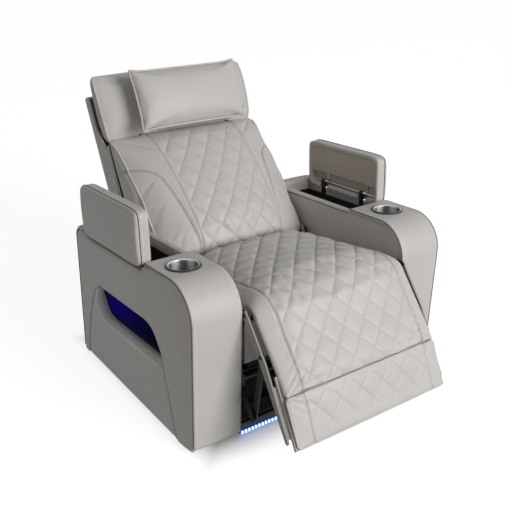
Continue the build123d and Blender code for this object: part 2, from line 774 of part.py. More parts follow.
def lid_strap(side):
    """Moving hinge strap, screwed to the lid's inner panel and fast on the rod."""
    with BuildPart() as strap:
        with BuildSketch(lid_plane(hinge_start(side) + HINGE_LEAF_WIDTH + HINGE_GAP)):
            Circle(HINGE_BARREL)
            with Locations(((LID_FACE + HINGE_ROD_RADIUS) / 2, HINGE_STRAP_LENGTH / 2)):
                Rectangle(LID_FACE - HINGE_ROD_RADIUS, HINGE_STRAP_LENGTH)
            Circle(HINGE_ROD_RADIUS, mode=Mode.SUBTRACT)
        extrude(amount=HINGE_STRAP_WIDTH)
    return strap.part


def lid_rod():
    """Steel rod through both hinges of a lid."""
    with BuildPart() as rod:
        with BuildSketch(lid_plane()):
            Circle(HINGE_ROD_RADIUS)
        extrude(amount=HINGE_ROD_LENGTH / 2, both=True)
    return rod.part


def square_tube(plane, width, height, length):
    """Hollow rectangular tube drawn on a plane and carried along its normal."""
    with BuildPart() as tube:
        with BuildSketch(plane):
            Rectangle(width, height)
            Rectangle(width - 2 * TUBE_WALL, height - 2 * TUBE_WALL, mode=Mode.SUBTRACT)
        extrude(amount=length)
    return tube.part


def cross_tube(y):
    """Steel tube from arm to arm."""
    origin = (-ARM_IN, y + CROSS_TUBE / 2, CROSS_TUBE_Z + CROSS_TUBE / 2)
    return square_tube(Plane(origin=origin, z_dir=(1, 0, 0)), CROSS_TUBE, CROSS_TUBE, 2 * ARM_IN)


def base_rail():
    """Steel side rail on top of the cross tubes."""
    origin = (RAIL_IN + RAIL_WIDTH / 2, RAIL_REAR_Y, RAIL_Z + RAIL_HEIGHT / 2)
    plane = Plane(origin=origin, x_dir=(1, 0, 0), z_dir=(0, -1, 0))
    return square_tube(plane, RAIL_WIDTH, RAIL_HEIGHT, RAIL_REAR_Y - RAIL_FRONT_Y)


def mechanism_plate():
    """Pressed side plate that carries the knee hinge, the swing arm and the back hinge."""
    lobe = PLATE_LOBE
    bridge = KNEE_Y + PLATE_BRIDGE
    foot = BACK_PIVOT_Y - PLATE_FOOT
    throat = KNEE_Y + PLATE_FOOT
    with BuildPart() as plate:
        with BuildSketch(Plane.YZ.offset(PLATE_IN)):
            with BuildLine():
                FilletPolyline(
                    (KNEE_Y - lobe + PLATE, KNEE_Z + LINK_WIDTH / 2),
                    (KNEE_Y + lobe, KNEE_Z + LINK_WIDTH / 2),
                    (bridge, seat_base(bridge) - PLATE),
                    (BACK_PIVOT_Y - PLATE_HEEL, seat_base(0) - PLATE_SAG),
                    (BACK_PIVOT_Y - lobe, BACK_PIVOT_Z + lobe),
                    (BACK_PIVOT_Y + lobe, BACK_PIVOT_Z + lobe),
                    (BACK_PIVOT_Y + lobe, BACK_PIVOT_Z - lobe),
                    (foot, RAIL_Z + PLATE_FOOT_HEIGHT),
                    (foot, RAIL_Z),
                    (RAIL_FRONT_Y + lobe, RAIL_Z),
                    (A_PIVOT[0] - lobe, A_PIVOT[1] - lobe),
                    (A_PIVOT[0] - lobe, A_PIVOT[1] + lobe),
                    (throat, A_PIVOT[1] + PLATE_THROAT),
                    (throat, KNEE_Z - PLATE_THROAT),
                    (KNEE_Y - lobe + PLATE, KNEE_Z - LINK_WIDTH / 2),
                    radius=PLATE_ROUND,
                    close=True,
                )
            make_face()
            with Locations(A_PIVOT):
                Circle(TORQUE_TUBE_RADIUS + PIN_FIT, mode=Mode.SUBTRACT)
            with Locations(((KNEE_Y + BACK_PIVOT_Y) / 2, A_PIVOT[1])):
                SlotOverall(PLATE_WINDOW_LENGTH, PLATE_WINDOW_HEIGHT, mode=Mode.SUBTRACT)
        extrude(amount=PLATE)
        with BuildSketch(Plane.YZ.offset(PLATE_OUT)):
            with Locations((KNEE_Y, KNEE_Z)):
                Circle(PIN_RADIUS)
        extrude(amount=LINK_OUT + LINK_GAP - PLATE_OUT)
        with BuildSketch(Plane.YZ.offset(BRACKET_IN - LINK_GAP)):
            with Locations((BACK_PIVOT_Y, BACK_PIVOT_Z)):
                Circle(BACK_PIN_RADIUS)
        extrude(amount=PLATE_IN - BRACKET_IN + LINK_GAP)
    return plate.part


def seat_boards():
    """Timber frame under the seat: two sides, a front rail and a rear rail."""
    front = SEAT_FRAME_FRONT_Y
    rear = SEAT_FRAME_REAR_Y
    side_in = PLATE_IN - BOARD

    def top(y):
        return seat_base(y) - SPRING_WIRE

    def board(start, end, low, x, width):
        with BuildPart() as piece:
            with BuildSketch(Plane.YZ.offset(x)):
                with BuildLine():
                    Polyline(
                        (start, low(start)),
                        (start, top(start)),
                        (end, top(end)),
                        (end, low(end)),
                        close=True,
                    )
                make_face()
            extrude(amount=width)
        return piece.part

    side = board(front, rear, lambda y: top(y) - SEAT_FRAME_DEPTH, side_in, BOARD)
    return [
        side,
        mirror(side, about=Plane.YZ),
        board(front, front + BOARD, lambda y: FRONT_PANEL_LOW_Z, -side_in, 2 * side_in),
        board(rear - BOARD, rear, lambda y: top(y) - SEAT_FRAME_DEPTH, -side_in, 2 * side_in),
    ]


def border_channels(half):
    """Cut the two sewn channels that divide a cushion's quilted field from its borders."""
    with BuildSketch(Plane.XY) as bands:
        for side in (-1, 1):
            with Locations((side * (half - QUILT_BORDER), (KNEE_Y + SEAT_REAR_Y) / 2)):
                Rectangle(CHANNEL, 2 * ARM_LENGTH)
    extrude(bands.sketch, amount=2 * ARM_HEIGHT, mode=Mode.SUBTRACT)


def seat_form(inset):
    """Crowned seat cushion, or the core that closes its channels when drawn in by inset."""
    length = SEAT_REAR_Y - SEAT_FRONT_EDGE_Y
    with BuildPart() as form:
        for share, fall in SEAT_STATIONS:
            station = SEAT_FRONT_EDGE_Y + share * length
            base = seat_base(station) + SOFT_GAP
            drop = fall * SEAT_END_DROP
            edge = base + SEAT_THICKNESS - drop - inset
            with BuildSketch(seat_section(station)):
                crowned_outline(SEAT_HALF - inset, base, edge, edge + SEAT_CROWN - drop, CUSHION_TUCK)
        loft()
    return form.part


def seat_spring(x):
    """Sinuous spring from the front rail to the rear rail, in the tilt of the seat."""
    tilt = radians(SEAT_TILT)
    start = (x, SEAT_FRAME_FRONT_Y, seat_base(SEAT_FRAME_FRONT_Y) - SPRING_WIRE)
    length = (SEAT_FRAME_REAR_Y - SEAT_FRAME_FRONT_Y) / cos(tilt) - SPRING_WIRE
    pitch = (length - SPRING_WIRE) / (SPRING_RUNS + 1)
    points = [(SPRING_WIRE, 0)]
    for run in range(SPRING_RUNS):
        side = SPRING_SWING / 2 * (1 if run % 2 else -1)
        place = SPRING_WIRE + pitch * (run + 0.5)
        points += [(place, side), (place + pitch, side)]
    points = points[:-1] + [(length - pitch / 2, points[-1][1]), (length - pitch / 2, 0), (length, 0)]
    points.insert(1, (points[1][0], 0))
    plane = Plane(origin=start, x_dir=(0, cos(tilt), -sin(tilt)), z_dir=(0, sin(tilt), cos(tilt)))
    with BuildPart() as spring:
        with BuildSketch(plane):
            with BuildLine():
                FilletPolyline(*points, radius=SPRING_BEND)
            trace(line_width=SPRING_WIRE)
        extrude(amount=SPRING_WIRE * cos(tilt))
    return spring.part


def legrest_arm():
    """Flat steel arm from the knee hinge down beside the legrest, flanged under its board."""
    half = LINK_WIDTH / 2
    end = LEG_END - LINK_WIDTH
    with BuildPart() as arm:
        with BuildSketch(leg_side(LINK_OUT)):
            with BuildLine():
                FilletPolyline(
                    (-half, -half),
                    (-half, half),
                    (SWING_LENGTH + LINK_WIDTH, half),
                    (LEG_BOARD_START, board_rear(LEG_BOARD_START)),
                    (end, board_rear(end)),
                    (end, board_rear(end) - half),
                    (LEG_BOARD_START, board_rear(LEG_BOARD_START) - LINK_WIDTH),
                    (SWING_LENGTH, -half),
                    radius=half / 2,
                    close=True,
                )
            make_face()
            Circle(PIN_RADIUS + PIN_FIT, mode=Mode.SUBTRACT)
            with Locations((SWING_LENGTH, 0)):
                Circle(PIN_RADIUS + OPEN_PIN_FIT, mode=Mode.SUBTRACT)
        extrude(amount=LINK)
        with BuildSketch(leg_side(LINK_OUT - LINK)):
            start = LEG_BOARD_START + LINK_WIDTH
            with BuildLine():
                Polyline(
                    (start, board_rear(start)),
                    (end - half, board_rear(end - half)),
                    (end - half, board_rear(end - half) - LEG_FLANGE),
                    (start, board_rear(start) - LEG_FLANGE),
                    close=True,
                )
            make_face()
        extrude(amount=LEG_FLANGE_WIDTH - LINK)
    return arm.part


def board_rear(down):
    """Offset of the legrest board's rear face at a distance down the legrest."""
    share = (down - LEG_BOARD_START) / (LEG_END - LEG_BOARD_START)
    return LEG_BOARD_OFFSET - LEG_BOARD_FALL * share


def board_front(down):
    """Offset of the legrest board's front face at a distance down the legrest."""
    return board_rear(down) + LEG_BOARD


def legrest_board():
    """Plywood board behind the lower legrest."""
    with BuildPart() as board:
        with BuildSketch(leg_side(LEG_HALF)):
            with BuildLine():
                Polyline(
                    (LEG_BOARD_START, board_rear(LEG_BOARD_START)),
                    (LEG_BOARD_START, board_front(LEG_BOARD_START)),
                    (LEG_END, board_front(LEG_END)),
                    (LEG_END, board_rear(LEG_END)),
                    close=True,
                )
            make_face()
        extrude(amount=2 * LEG_HALF)
    return board.part


def legrest_pad_outline(front, roll):
    """Pad section: a roll round the knee hinge, then a slab down to the seam."""
    lap = LEG_BOARD_START
    with BuildLine() as outline:
        Line((0, roll), (LEG_SEAM, front))
        Line((LEG_SEAM, front), (LEG_SEAM, board_front(LEG_SEAM)))
        Line((LEG_SEAM, board_front(LEG_SEAM)), (lap, board_front(lap)))
        Line((lap, board_front(lap)), (SWING_LENGTH, 0))
        Line((SWING_LENGTH, 0), (0, -LEG_HEM))
        Line((0, -LEG_HEM), (-roll, 0))
        ThreePointArc((-roll, 0), (-roll * cos(radians(45)), roll * sin(radians(45))), (0, roll))
    make_face(outline.edges())


def foot_panel_outline(front, toe):
    """Lower panel section: a wedge on the board below the seam."""
    with BuildLine() as outline:
        Line((LEG_SEAM, board_front(LEG_SEAM)), (LEG_SEAM, front))
        Line((LEG_SEAM, front), (LEG_END, toe))
        Line((LEG_END, toe), (LEG_END, board_front(LEG_END)))
        Line((LEG_END, board_front(LEG_END)), (LEG_SEAM, board_front(LEG_SEAM)))
    make_face(outline.edges())


def legrest_form(inset):
    """Crowned upper legrest, or the core that closes its channels when drawn in by inset."""
    with BuildPart() as form:
        for x, rise in LEG_STATIONS:
            with BuildSketch(leg_side(x)):
                legrest_pad_outline(LEG_FRONT + rise - inset, LEG_ROLL - inset)
        loft()
    return form.part


def foot_form(inset):
    """Crowned lower legrest panel, or its core drawn in by inset, less so at the thin toe."""
    with BuildPart() as form:
        for x, rise in LEG_STATIONS:
            toe = LEG_TOE + LEG_TOE_SHARE * (rise - inset)
            with BuildSketch(leg_side(x)):
                foot_panel_outline(LEG_FRONT + rise - inset, toe)
        loft()
    return form.part


def swing_arms():
    """Torque tube through both side plates, with a swing arm at each end and the drive lever."""
    with BuildPart() as weldment:
        with BuildSketch(Plane.YZ.offset(-LINK_IN)):
            with Locations(A_PIVOT):
                Circle(TORQUE_TUBE_RADIUS)
        extrude(amount=2 * LINK_IN)
        for x in (LINK_IN, -LINK_OUT):
            with BuildSketch(link_plane(x, A_PIVOT, B_PIVOT)):
                SlotCenterToCenter(SWING_LENGTH, LINK_WIDTH)
                with Locations((SWING_LENGTH / 2, 0)):
                    Circle(PIN_RADIUS + PIN_FIT, mode=Mode.SUBTRACT)
            extrude(amount=LINK)
        with BuildSketch(link_plane(-ACTUATOR_X - LEVER / 2, A_PIVOT, LEVER_PIN)):
            SlotCenterToCenter(LEVER_LENGTH, LEVER_WIDTH)
        extrude(amount=LEVER)
        with BuildSketch(Plane.YZ.offset(-ACTUATOR_X - ACTUATOR_RAIL / 2 - LEVER_PIN_END)):
            with Locations(LEVER_PIN):
                Circle(LEVER_PIN_RADIUS)
        extrude(amount=ACTUATOR_RAIL + 2 * LEVER_PIN_END)
    return weldment.part


def coupler_link():
    """Upright link between a swing arm and a legrest arm, with a pin at each end."""
    length = (SWING_BACK**2 + SWING_DOWN**2) ** 0.5
    with BuildPart() as link:
        with BuildSketch(link_plane(COUPLER_IN, B_PIVOT, C_PIVOT)):
            SlotCenterToCenter(length, LINK_WIDTH - PLATE)
        extrude(amount=LINK)
        with BuildSketch(link_plane(COUPLER_OUT, B_PIVOT, C_PIVOT)):
            with Locations((-length / 2, 0), (length / 2, 0)):
                Circle(PIN_RADIUS)
        extrude(amount=LINK_OUT - COUPLER_OUT + LINK_GAP)
    return link.part


def back_brackets():
    """Steel hinge brackets on the back's stiles, welded to the cross tube that the drive pushes."""
    lobe = BRACKET_LOBE
    stile_rear = BACK_REAR + BACK_SHELL
    with BuildPart() as weldment:
        for x in (BRACKET_IN, -BRACKET_OUT):
            with BuildSketch(back_side(x)):
                with BuildLine():
                    FilletPolyline(
                        (BACK_TUBE_UP - lobe, BACK_TUBE_FORWARD),
                        (BACK_TUBE_UP, BACK_TUBE_FORWARD + lobe),
                        (-lobe, lobe),
                        (lobe, lobe),
                        (BRACKET_ARM, 0),
                        (BRACKET_ARM, BACK_SEAT),
                        (BRACKET_TOP, BACK_SEAT),
                        (BRACKET_TOP, stile_rear),
                        (-BRACKET_ARM, stile_rear),
                        (-BRACKET_HEEL, BACK_SEAT),
                        radius=lobe / 2,
                        close=True,
                    )
                make_face()
                Circle(BACK_PIN_RADIUS + PIN_FIT, mode=Mode.SUBTRACT)
            extrude(amount=LINK)
        with BuildSketch(back_side(-BRACKET_IN)):
            with Locations((BACK_TUBE_UP, BACK_TUBE_FORWARD)):
                Circle(BACK_TUBE_RADIUS)
        extrude(amount=2 * BRACKET_IN)
    return weldment.part


def back_frame():
    """Timber back frame: a panel behind the cushion, two stiles and a thin neck board."""
    stile_rear = BACK_REAR + BACK_SHELL
    panel_rear = BACK_SEAT - BACK_PANEL
    neck_rear = BACK_NECK_FRONT - BACK_PANEL
    with BuildPart() as frame:
        with BuildSketch(back_side(-BRACKET_IN)):
            with Locations(((BACK_LOW + BACK_SHOULDER) / 2, BACK_SEAT - BACK_PANEL / 2)):
                Rectangle(BACK_SHOULDER - BACK_LOW, BACK_PANEL)
            with Locations(((BACK_SHOULDER + BACK_TOP - BACK_SHELL) / 2, BACK_NECK_FRONT - BACK_PANEL / 2)):
                Rectangle(BACK_TOP - BACK_SHELL - BACK_SHOULDER, BACK_PANEL)
            with Locations((BACK_SHOULDER - BACK_PANEL / 2, (panel_rear + neck_rear) / 2)):
                Rectangle(BACK_PANEL, panel_rear - neck_rear)
        extrude(amount=2 * BRACKET_IN)
        for x in (BRACKET_IN - BACK_STILE, -BRACKET_IN):
            with BuildSketch(back_side(x)):
                with Locations(((BACK_LOW + BACK_SHOULDER) / 2, (stile_rear + panel_rear) / 2)):
                    Rectangle(BACK_SHOULDER - BACK_LOW, panel_rear - stile_rear)
            extrude(amount=BACK_STILE)
    return frame.part


def back_shell():
    """Leather-covered rear shell: a back wall, two wings that taper at the neck, and a top."""
    inner_rear = BACK_REAR + BACK_SHELL
    with BuildPart() as shell:
        with BuildSketch(back_side(-SHELL_HALF)):
            with BuildLine():
                FilletPolyline(
                    (BACK_SHELL_LOW, BACK_REAR),
                    (BACK_SHELL_LOW, BACK_SEAT),
                    (BACK_SHOULDER, BACK_SEAT),
                    (BACK_NECK, BACK_NECK_FRONT),
                    (BACK_TOP, BACK_NECK_FRONT),
                    (BACK_TOP, BACK_REAR),
                    radius=[0, 0, BACK_STILE, BACK_STILE, BACK_SHELL, BACK_SHELL],
                    close=True,
                )
            make_face()
        extrude(amount=2 * SHELL_HALF)
        with BuildSketch(back_side(-SHELL_IN)):
            with Locations(((BACK_LOW + BACK_TOP - BACK_SHELL) / 2, (inner_rear + BACK_SEAT) / 2)):
                Rectangle(BACK_TOP - BACK_SHELL - BACK_LOW, BACK_SEAT - inner_rear)
        extrude(amount=2 * SHELL_IN, mode=Mode.SUBTRACT)
        with BuildSketch(back_side(-BRACKET_IN)):
            with Locations(((BACK_LOW + BACK_SHELL_LOW) / 2, BACK_REAR + BACK_SHELL / 2)):
                Rectangle(BACK_SHELL_LOW - BACK_LOW, BACK_SHELL)
        extrude(amount=2 * BRACKET_IN)
    return shell.part


def back_form(inset):
    """Crowned back cushion, or the core that closes its channels when drawn in by inset."""
    with BuildPart() as form:
        for up, edge, crown in BACK_STATIONS:
            with BuildSketch(back_section(up)):
                crowned_outline(CUSHION_HALF - inset, BACK_SEAT, edge - inset, crown - inset, CUSHION_TUCK)
        loft()
    return form.part


def back_channels():
    """Cut the sewn channels beside the quilted back panel and out to the sides at the shoulders."""
    low = BACK_STATIONS[0][0] - CHANNEL
    high = BACK_STATIONS[-1][0] + CHANNEL
    share = (BACK_SEAM_UP - low) / (high - low)
    seam_x = BACK_FIELD_LOW + (BACK_FIELD_TOP - BACK_FIELD_LOW) * share
    seams = (
        ((BACK_FIELD_LOW, low), (BACK_FIELD_TOP, high)),
        ((seam_x, BACK_SEAM_UP), (ARM_IN, BACK_SEAM_SIDE_UP)),
    )
    with BuildSketch(back_front(BACK_SEAT)) as bands:
        for start, end in seams:
            run = Vector(*end) - Vector(*start)
            middle = (Vector(*start) + Vector(*end)) / 2
            with Locations(middle):
                Rectangle(run.length, CHANNEL, rotation=Vector(1, 0).get_signed_angle(run))
        mirror(about=Plane.YZ)
    extrude(bands.sketch, amount=2 * ARM_IN, mode=Mode.SUBTRACT)


def head_leaf():
    """Hinge arm from the neck board forward to the headrest's pivot, with its pin."""
    x = HEAD_HINGE_SPACING / 2
    with BuildPart() as leaf:
        with BuildSketch(back_side(x)):
            with BuildLine():
                Polyline(
                    (HEAD_PIVOT_UP - HEAD_BARREL, BACK_NECK_FRONT),
                    (HEAD_PIVOT_UP - HEAD_BARREL, HEAD_PIVOT_FORWARD),
                    (HEAD_PIVOT_UP, HEAD_PIVOT_FORWARD),
                    (HEAD_PIVOT_UP, BACK_NECK_FRONT),
                    close=True,
                )
            make_face()
            with Locations((HEAD_PIVOT_UP, HEAD_PIVOT_FORWARD)):
                Circle(HEAD_BARREL)
        extrude(amount=HEAD_HINGE_WIDTH / 2)
        with BuildSketch(back_side(x + HEAD_HINGE_WIDTH / 2)):
            with Locations((HEAD_PIVOT_UP, HEAD_PIVOT_FORWARD)):
                Circle(HEAD_PIN_RADIUS)
        extrude(amount=HEAD_HINGE_WIDTH / 2 + LINK_GAP)
    return leaf.part


def actuator(x, front, motor_x):
    """Linear actuator: a rail on the cross tubes, a gearbox on it and the motor beside that."""
    rear = CROSS_REAR_Y + CROSS_TUBE
    with BuildPart() as drive:
        with BuildSketch(Plane.XZ.offset(-rear)):
            with Locations((x, RAIL_Z + ACTUATOR_RAIL_HEIGHT / 2)):
                Rectangle(ACTUATOR_RAIL, ACTUATOR_RAIL_HEIGHT)
        extrude(amount=rear - front)
        with BuildSketch(Plane.XY.offset(ACTUATOR_TOP)):
            with Locations((x, MOTOR_Y + MOTOR_RADIUS)):
                RectangleRounded(ACTUATOR_RAIL, 2 * MOTOR_RADIUS, FORK_ROUND)
        extrude(amount=2 * MOTOR_RADIUS)
        side = 1 if motor_x > x else -1
        with BuildSketch(Plane.YZ.offset(x + side * ACTUATOR_RAIL / 2)):
            with Locations((MOTOR_Y + MOTOR_RADIUS, ACTUATOR_TOP + MOTOR_RADIUS)):
                Circle(MOTOR_CAN_RADIUS)
        extrude(amount=side * MOTOR_LENGTH)
    return drive.part


def carriage(x, place, pin_radius, pin_z):
    """Carriage on the actuator's rail, with two slotted cheeks that straddle the driven pin."""
    slot = 2 * (pin_radius + FORK_SLOT_FIT)
    low = ACTUATOR_TOP + SLIDE_GAP
    top = pin_z + FORK_RISE
    slot_low = pin_z - pin_radius - FORK_UNDER
    with BuildPart() as fork:
        with BuildSketch(Plane.XY.offset(low)):
            with Locations((x, place)):
                RectangleRounded(ACTUATOR_RAIL, FORK_LENGTH, FORK_ROUND)
        extrude(amount=CARRIAGE_HEIGHT)
        for cheek_x in (x - ACTUATOR_RAIL / 2, x + ACTUATOR_RAIL / 2 - FORK_CHEEK):
            with BuildSketch(Plane.YZ.offset(cheek_x)):
                with Locations((place, (low + FORK_ROUND + top) / 2)):
                    Rectangle(FORK_LENGTH, top - low - FORK_ROUND)
                with Locations((place, (slot_low + top) / 2)):
                    Rectangle(slot, top - slot_low, mode=Mode.SUBTRACT)
            extrude(amount=FORK_CHEEK)
    return fork.part


def head_strap():
    """Hinge strap screwed under the headrest, with its barrel on the pin."""
    x = HEAD_HINGE_SPACING / 2 + HEAD_HINGE_WIDTH / 2 + LINK_GAP / 2
    with BuildPart() as strap:
        with BuildSketch(back_side(x)):
            with BuildLine():
                Polyline(
                    (HEAD_PIVOT_UP, HEAD_PIVOT_FORWARD + HEAD_BARREL),
                    (HEAD_LOW, HEAD_PIVOT_FORWARD + HEAD_BARREL),
                    (HEAD_LOW, HEAD_PIVOT_FORWARD - HEAD_STRAP_REACH),
                    (HEAD_PIVOT_UP, HEAD_PIVOT_FORWARD - HEAD_BARREL),
                    close=True,
                )
            make_face()
            with Locations((HEAD_PIVOT_UP, HEAD_PIVOT_FORWARD)):
                Circle(HEAD_BARREL)
                Circle(HEAD_PIN_RADIUS + PIN_FIT, mode=Mode.SUBTRACT)
        extrude(amount=HEAD_HINGE_WIDTH / 2)
    return strap.part


def pillow_outline(half_height, front, rear):
    """Pillow section: two arcs that meet at narrow seams."""
    low = PILLOW_UP - half_height
    high = PILLOW_UP + half_height
    seam = (front + rear) / 2
    lip = (front - rear) * PILLOW_SEAM_SHARE
    with BuildLine() as outline:
        Line((low, seam - lip), (low, seam + lip))
        ThreePointArc((low, seam + lip), (PILLOW_UP, front), (high, seam + lip))
        Line((high, seam + lip), (high, seam - lip))
        ThreePointArc((high, seam - lip), (PILLOW_UP, rear), (low, seam - lip))
    make_face(outline.edges())


def control_button(place):
    """Round push button, drawn on the left arm's side."""
    with BuildPart() as button:
        with BuildSketch(Plane.YZ.offset(ARM_IN - CONTROL_THICKNESS - BUTTON_PROUD)):
            with Locations((place, CONTROL_Z)):
                Circle(BUTTON_RADIUS)
        extrude(amount=CONTROL_THICKNESS + BUTTON_PROUD - BUTTON_TRAVEL - BUTTON_BEHIND)
        chamfer(button.faces().sort_by(Axis.X)[0].edges(), BUTTON_CHAMFER)
    return button.part


# Arms
left_boards = arm_boards()
save(Compound(children=[mirror(board, about=Plane.YZ) for board in left_boards]), "arm_frame_right")
save(Compound(children=left_boards), "arm_frame_left")
save_pair(arm_inner_cover(), "arm_inner_cover")
save_pair(arm_outer_cover(), "arm_outer_cover")
save_pair(arm_pocket_panel(), "arm_pocket_panel")
save_pair(arm_front_cover(), "arm_front_cover")
save_pair(arm_rear_cover(), "arm_rear_cover")
save_pair(storage_bin(), "storage_bin")
save_pair(cup_holder(), "cup_holder")
save_pair(pocket_liner(), "pocket_liner")
save_both([pocket_light()], "pocket_lights")

# Arm lids
save_pair(lid_pad(), "lid_pad")
save_pair(lid_board(), "lid_board")
lid_hinge = [lid_strap(-1), lid_strap(1), lid_rod()]
save(Compound(children=[mirror(piece, about=Plane.YZ) for piece in lid_hinge]), "lid_hinge_right")
save(Compound(children=lid_hinge), "lid_hinge_left")
save_both([lid_leaf(-1), lid_leaf(1)], "lid_hinge_leaves")

# Base
with BuildPart() as floor_glides:
    with BuildSketch():
        for glide_x in (-ARM_MID, ARM_MID):
            with Locations((glide_x, ARM_FRONT_Y + GLIDE_INSET), (glide_x, ARM_REAR_Y - GLIDE_INSET)):
                Circle(GLIDE_RADIUS)
    extrude(amount=GLIDE_HEIGHT)
save(floor_glides.part, "floor_glides")

with BuildPart() as toe_rail:
    with BuildSketch(Plane.YZ.offset(-ARM_IN)):
        with Locations((TOE_Y + TOE_THICKNESS / 2, TOE_Z + TOE_HEIGHT / 2)):
            Rectangle(TOE_THICKNESS, TOE_HEIGHT)
    extrude(amount=2 * ARM_IN)
save(toe_rail.part, "toe_rail")

with BuildPart() as toe_light:
    with BuildSketch(Plane.YZ.offset(-ARM_IN)):
        with Locations((TOE_Y - TOE_LIGHT_THICKNESS / 2, TOE_Z + TOE_LIGHT_HEIGHT / 2)):
            Rectangle(TOE_LIGHT_THICKNESS, TOE_LIGHT_HEIGHT)
    extrude(amount=2 * ARM_IN)
save(toe_light.part, "toe_light")

save(Compound(children=[cross_tube(CROSS_FRONT_Y), cross_tube(CROSS_REAR_Y)]), "cross_tubes")
save_both([base_rail()], "base_rails")
save_both([mechanism_plate()], "mechanism_plates")

# Seat
save(Compound(children=seat_boards()), "seat_frame")
spring_xs = [SPRING_SPACING * (index - (SPRING_COUNT - 1) / 2) for index in range(SPRING_COUNT)]
save(Compound(children=[seat_spring(x) for x in spring_xs]), "seat_springs")

with BuildPart() as seat_cushion:
    add(seat_form(0))
    border_channels(SEAT_HALF)
    add(seat_form(CHANNEL_DEPTH))
save(seat_cushion.part, "seat_cushion")

with BuildPart() as seat_front_panel:
    with BuildSketch(Plane.YZ.offset(-SEAT_HALF)):
        with Locations(
            (SEAT_FRAME_FRONT_Y - FRONT_PANEL / 2, (FRONT_PANEL_LOW_Z + FRONT_PANEL_TOP_Z) / 2)
        ):
            Rectangle(FRONT_PANEL, FRONT_PANEL_TOP_Z - FRONT_PANEL_LOW_Z)
    extrude(amount=2 * SEAT_HALF)
    fillet(seat_front_panel.faces().sort_by(Axis.Y)[0].edges(), FRONT_PANEL_ROUND)
save(seat_front_panel.part, "seat_front_panel")

# Legrest and its linkage
with BuildPart() as legrest_pad:
    add(legrest_form(0))
    border_channels(LEG_HALF)
    add(legrest_form(CHANNEL_DEPTH))
save(legrest_pad.part, "legrest_pad")

with BuildPart() as foot_panel:
    add(foot_form(0))
    border_channels(LEG_HALF)
    add(foot_form(CHANNEL_DEPTH))
save(foot_panel.part, "foot_panel")

save(legrest_board(), "legrest_board")
save_both([legrest_arm()], "legrest_arms")
save(swing_arms(), "swing_arms")
save_both([coupler_link()], "coupler_links")

# Back
save(back_brackets(), "back_brackets")
save(back_frame(), "back_frame")
save(back_shell(), "back_shell")

with BuildPart() as back_cushion:
    add(back_form(0))
    back_channels()
    add(back_form(CHANNEL_DEPTH))
save(back_cushion.part, "back_cushion")

# Headrest
save_both([head_leaf()], "headrest_hinge_arms")
save_both([head_strap()], "headrest_hinge_straps")

with BuildPart() as headrest_cushion:
    for rise, spread, rear, edge, crown in HEAD_STATIONS:
        with BuildSketch(back_section(HEAD_LOW + rise)):
            crowned_outline(SHELL_HALF + spread, rear, edge, crown, HEAD_TUCK)
    loft()
save(headrest_cushion.part, "headrest_cushion")

pillow_stations = [(-out, height, swell) for out, height, swell in PILLOW_STATIONS[:-1]]
pillow_stations += PILLOW_STATIONS[::-1]
with BuildPart() as head_pillow:
    for out, height, swell in pillow_stations:
        with BuildSketch(back_side(out * PILLOW_HALF)):
            front = PILLOW_MID + (PILLOW_FRONT - PILLOW_MID) * swell
            rear = PILLOW_MID + (PILLOW_REAR - PILLOW_MID) * swell
            pillow_outline(PILLOW_HALF_HEIGHT * height, front, rear)
    loft()
save(head_pillow.part, "head_pillow")

# Drives, power supply and controls
save(actuator(-ACTUATOR_X, ACTUATOR_FRONT_Y, -ARM_IN), "footrest_actuator")
save(actuator(ACTUATOR_X, CROSS_FRONT_Y, ARM_IN), "recline_actuator")
save(carriage(-ACTUATOR_X, LEVER_PIN[0], LEVER_PIN_RADIUS, LEVER_PIN[1]), "footrest_carriage")
save(carriage(ACTUATOR_X, BACK_TUBE[0], BACK_TUBE_RADIUS, BACK_TUBE[1]), "recline_carriage")

with BuildPart() as power_supply:
    middle_y = CROSS_REAR_Y + CROSS_TUBE / 2
    supply_x = SUPPLY_INSET - ARM_IN
    with BuildSketch(Plane.XY.offset(RAIL_Z)):
        with Locations((supply_x, middle_y)):
            RectangleRounded(SUPPLY_LENGTH, SUPPLY_WIDTH, SUPPLY_ROUND)
    extrude(amount=SUPPLY_HEIGHT)
    with BuildSketch(Plane.XZ.offset(-middle_y - SUPPLY_WIDTH / 2)):
        with Locations((supply_x, RAIL_Z + SUPPLY_HEIGHT / 2)):
            SlotOverall(INLET_WIDTH, INLET_HEIGHT)
    extrude(amount=INLET_DEPTH, mode=Mode.SUBTRACT)
save(power_supply.part, "power_supply")

button_mid = (len(BUTTON_NAMES) - 1) / 2
button_places = [CONTROL_Y + BUTTON_SPACING * (index - button_mid) for index in range(len(BUTTON_NAMES))]
with BuildPart() as control_panel:
    with BuildSketch(Plane.YZ.offset(ARM_IN - CONTROL_THICKNESS)):
        with Locations((CONTROL_Y, CONTROL_Z)):
            SlotOverall(CONTROL_LENGTH, CONTROL_HEIGHT)
        with Locations(*[(place, CONTROL_Z) for place in button_places]):
            Circle(BUTTON_RADIUS + BUTTON_FIT, mode=Mode.SUBTRACT)
    extrude(amount=CONTROL_THICKNESS)
save(mirror(control_panel.part, about=Plane.YZ), "control_panel")
for button_name, place in zip(BUTTON_NAMES, button_places):
    save(mirror(control_button(place), about=Plane.YZ), f"button_{button_name}")
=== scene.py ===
"""Power recliner in pale leather: its upholstery, seams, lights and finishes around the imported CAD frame.

Sizes inside the classes are millimetres in the CAD frame: X across, Y to the rear, Z up. The chair faces -Y.
"""

import logging
import math
from dataclasses import dataclass
from enum import Enum
from typing import Callable, Sequence

import bpy
import numpy as np
from mathutils import Matrix, Vector


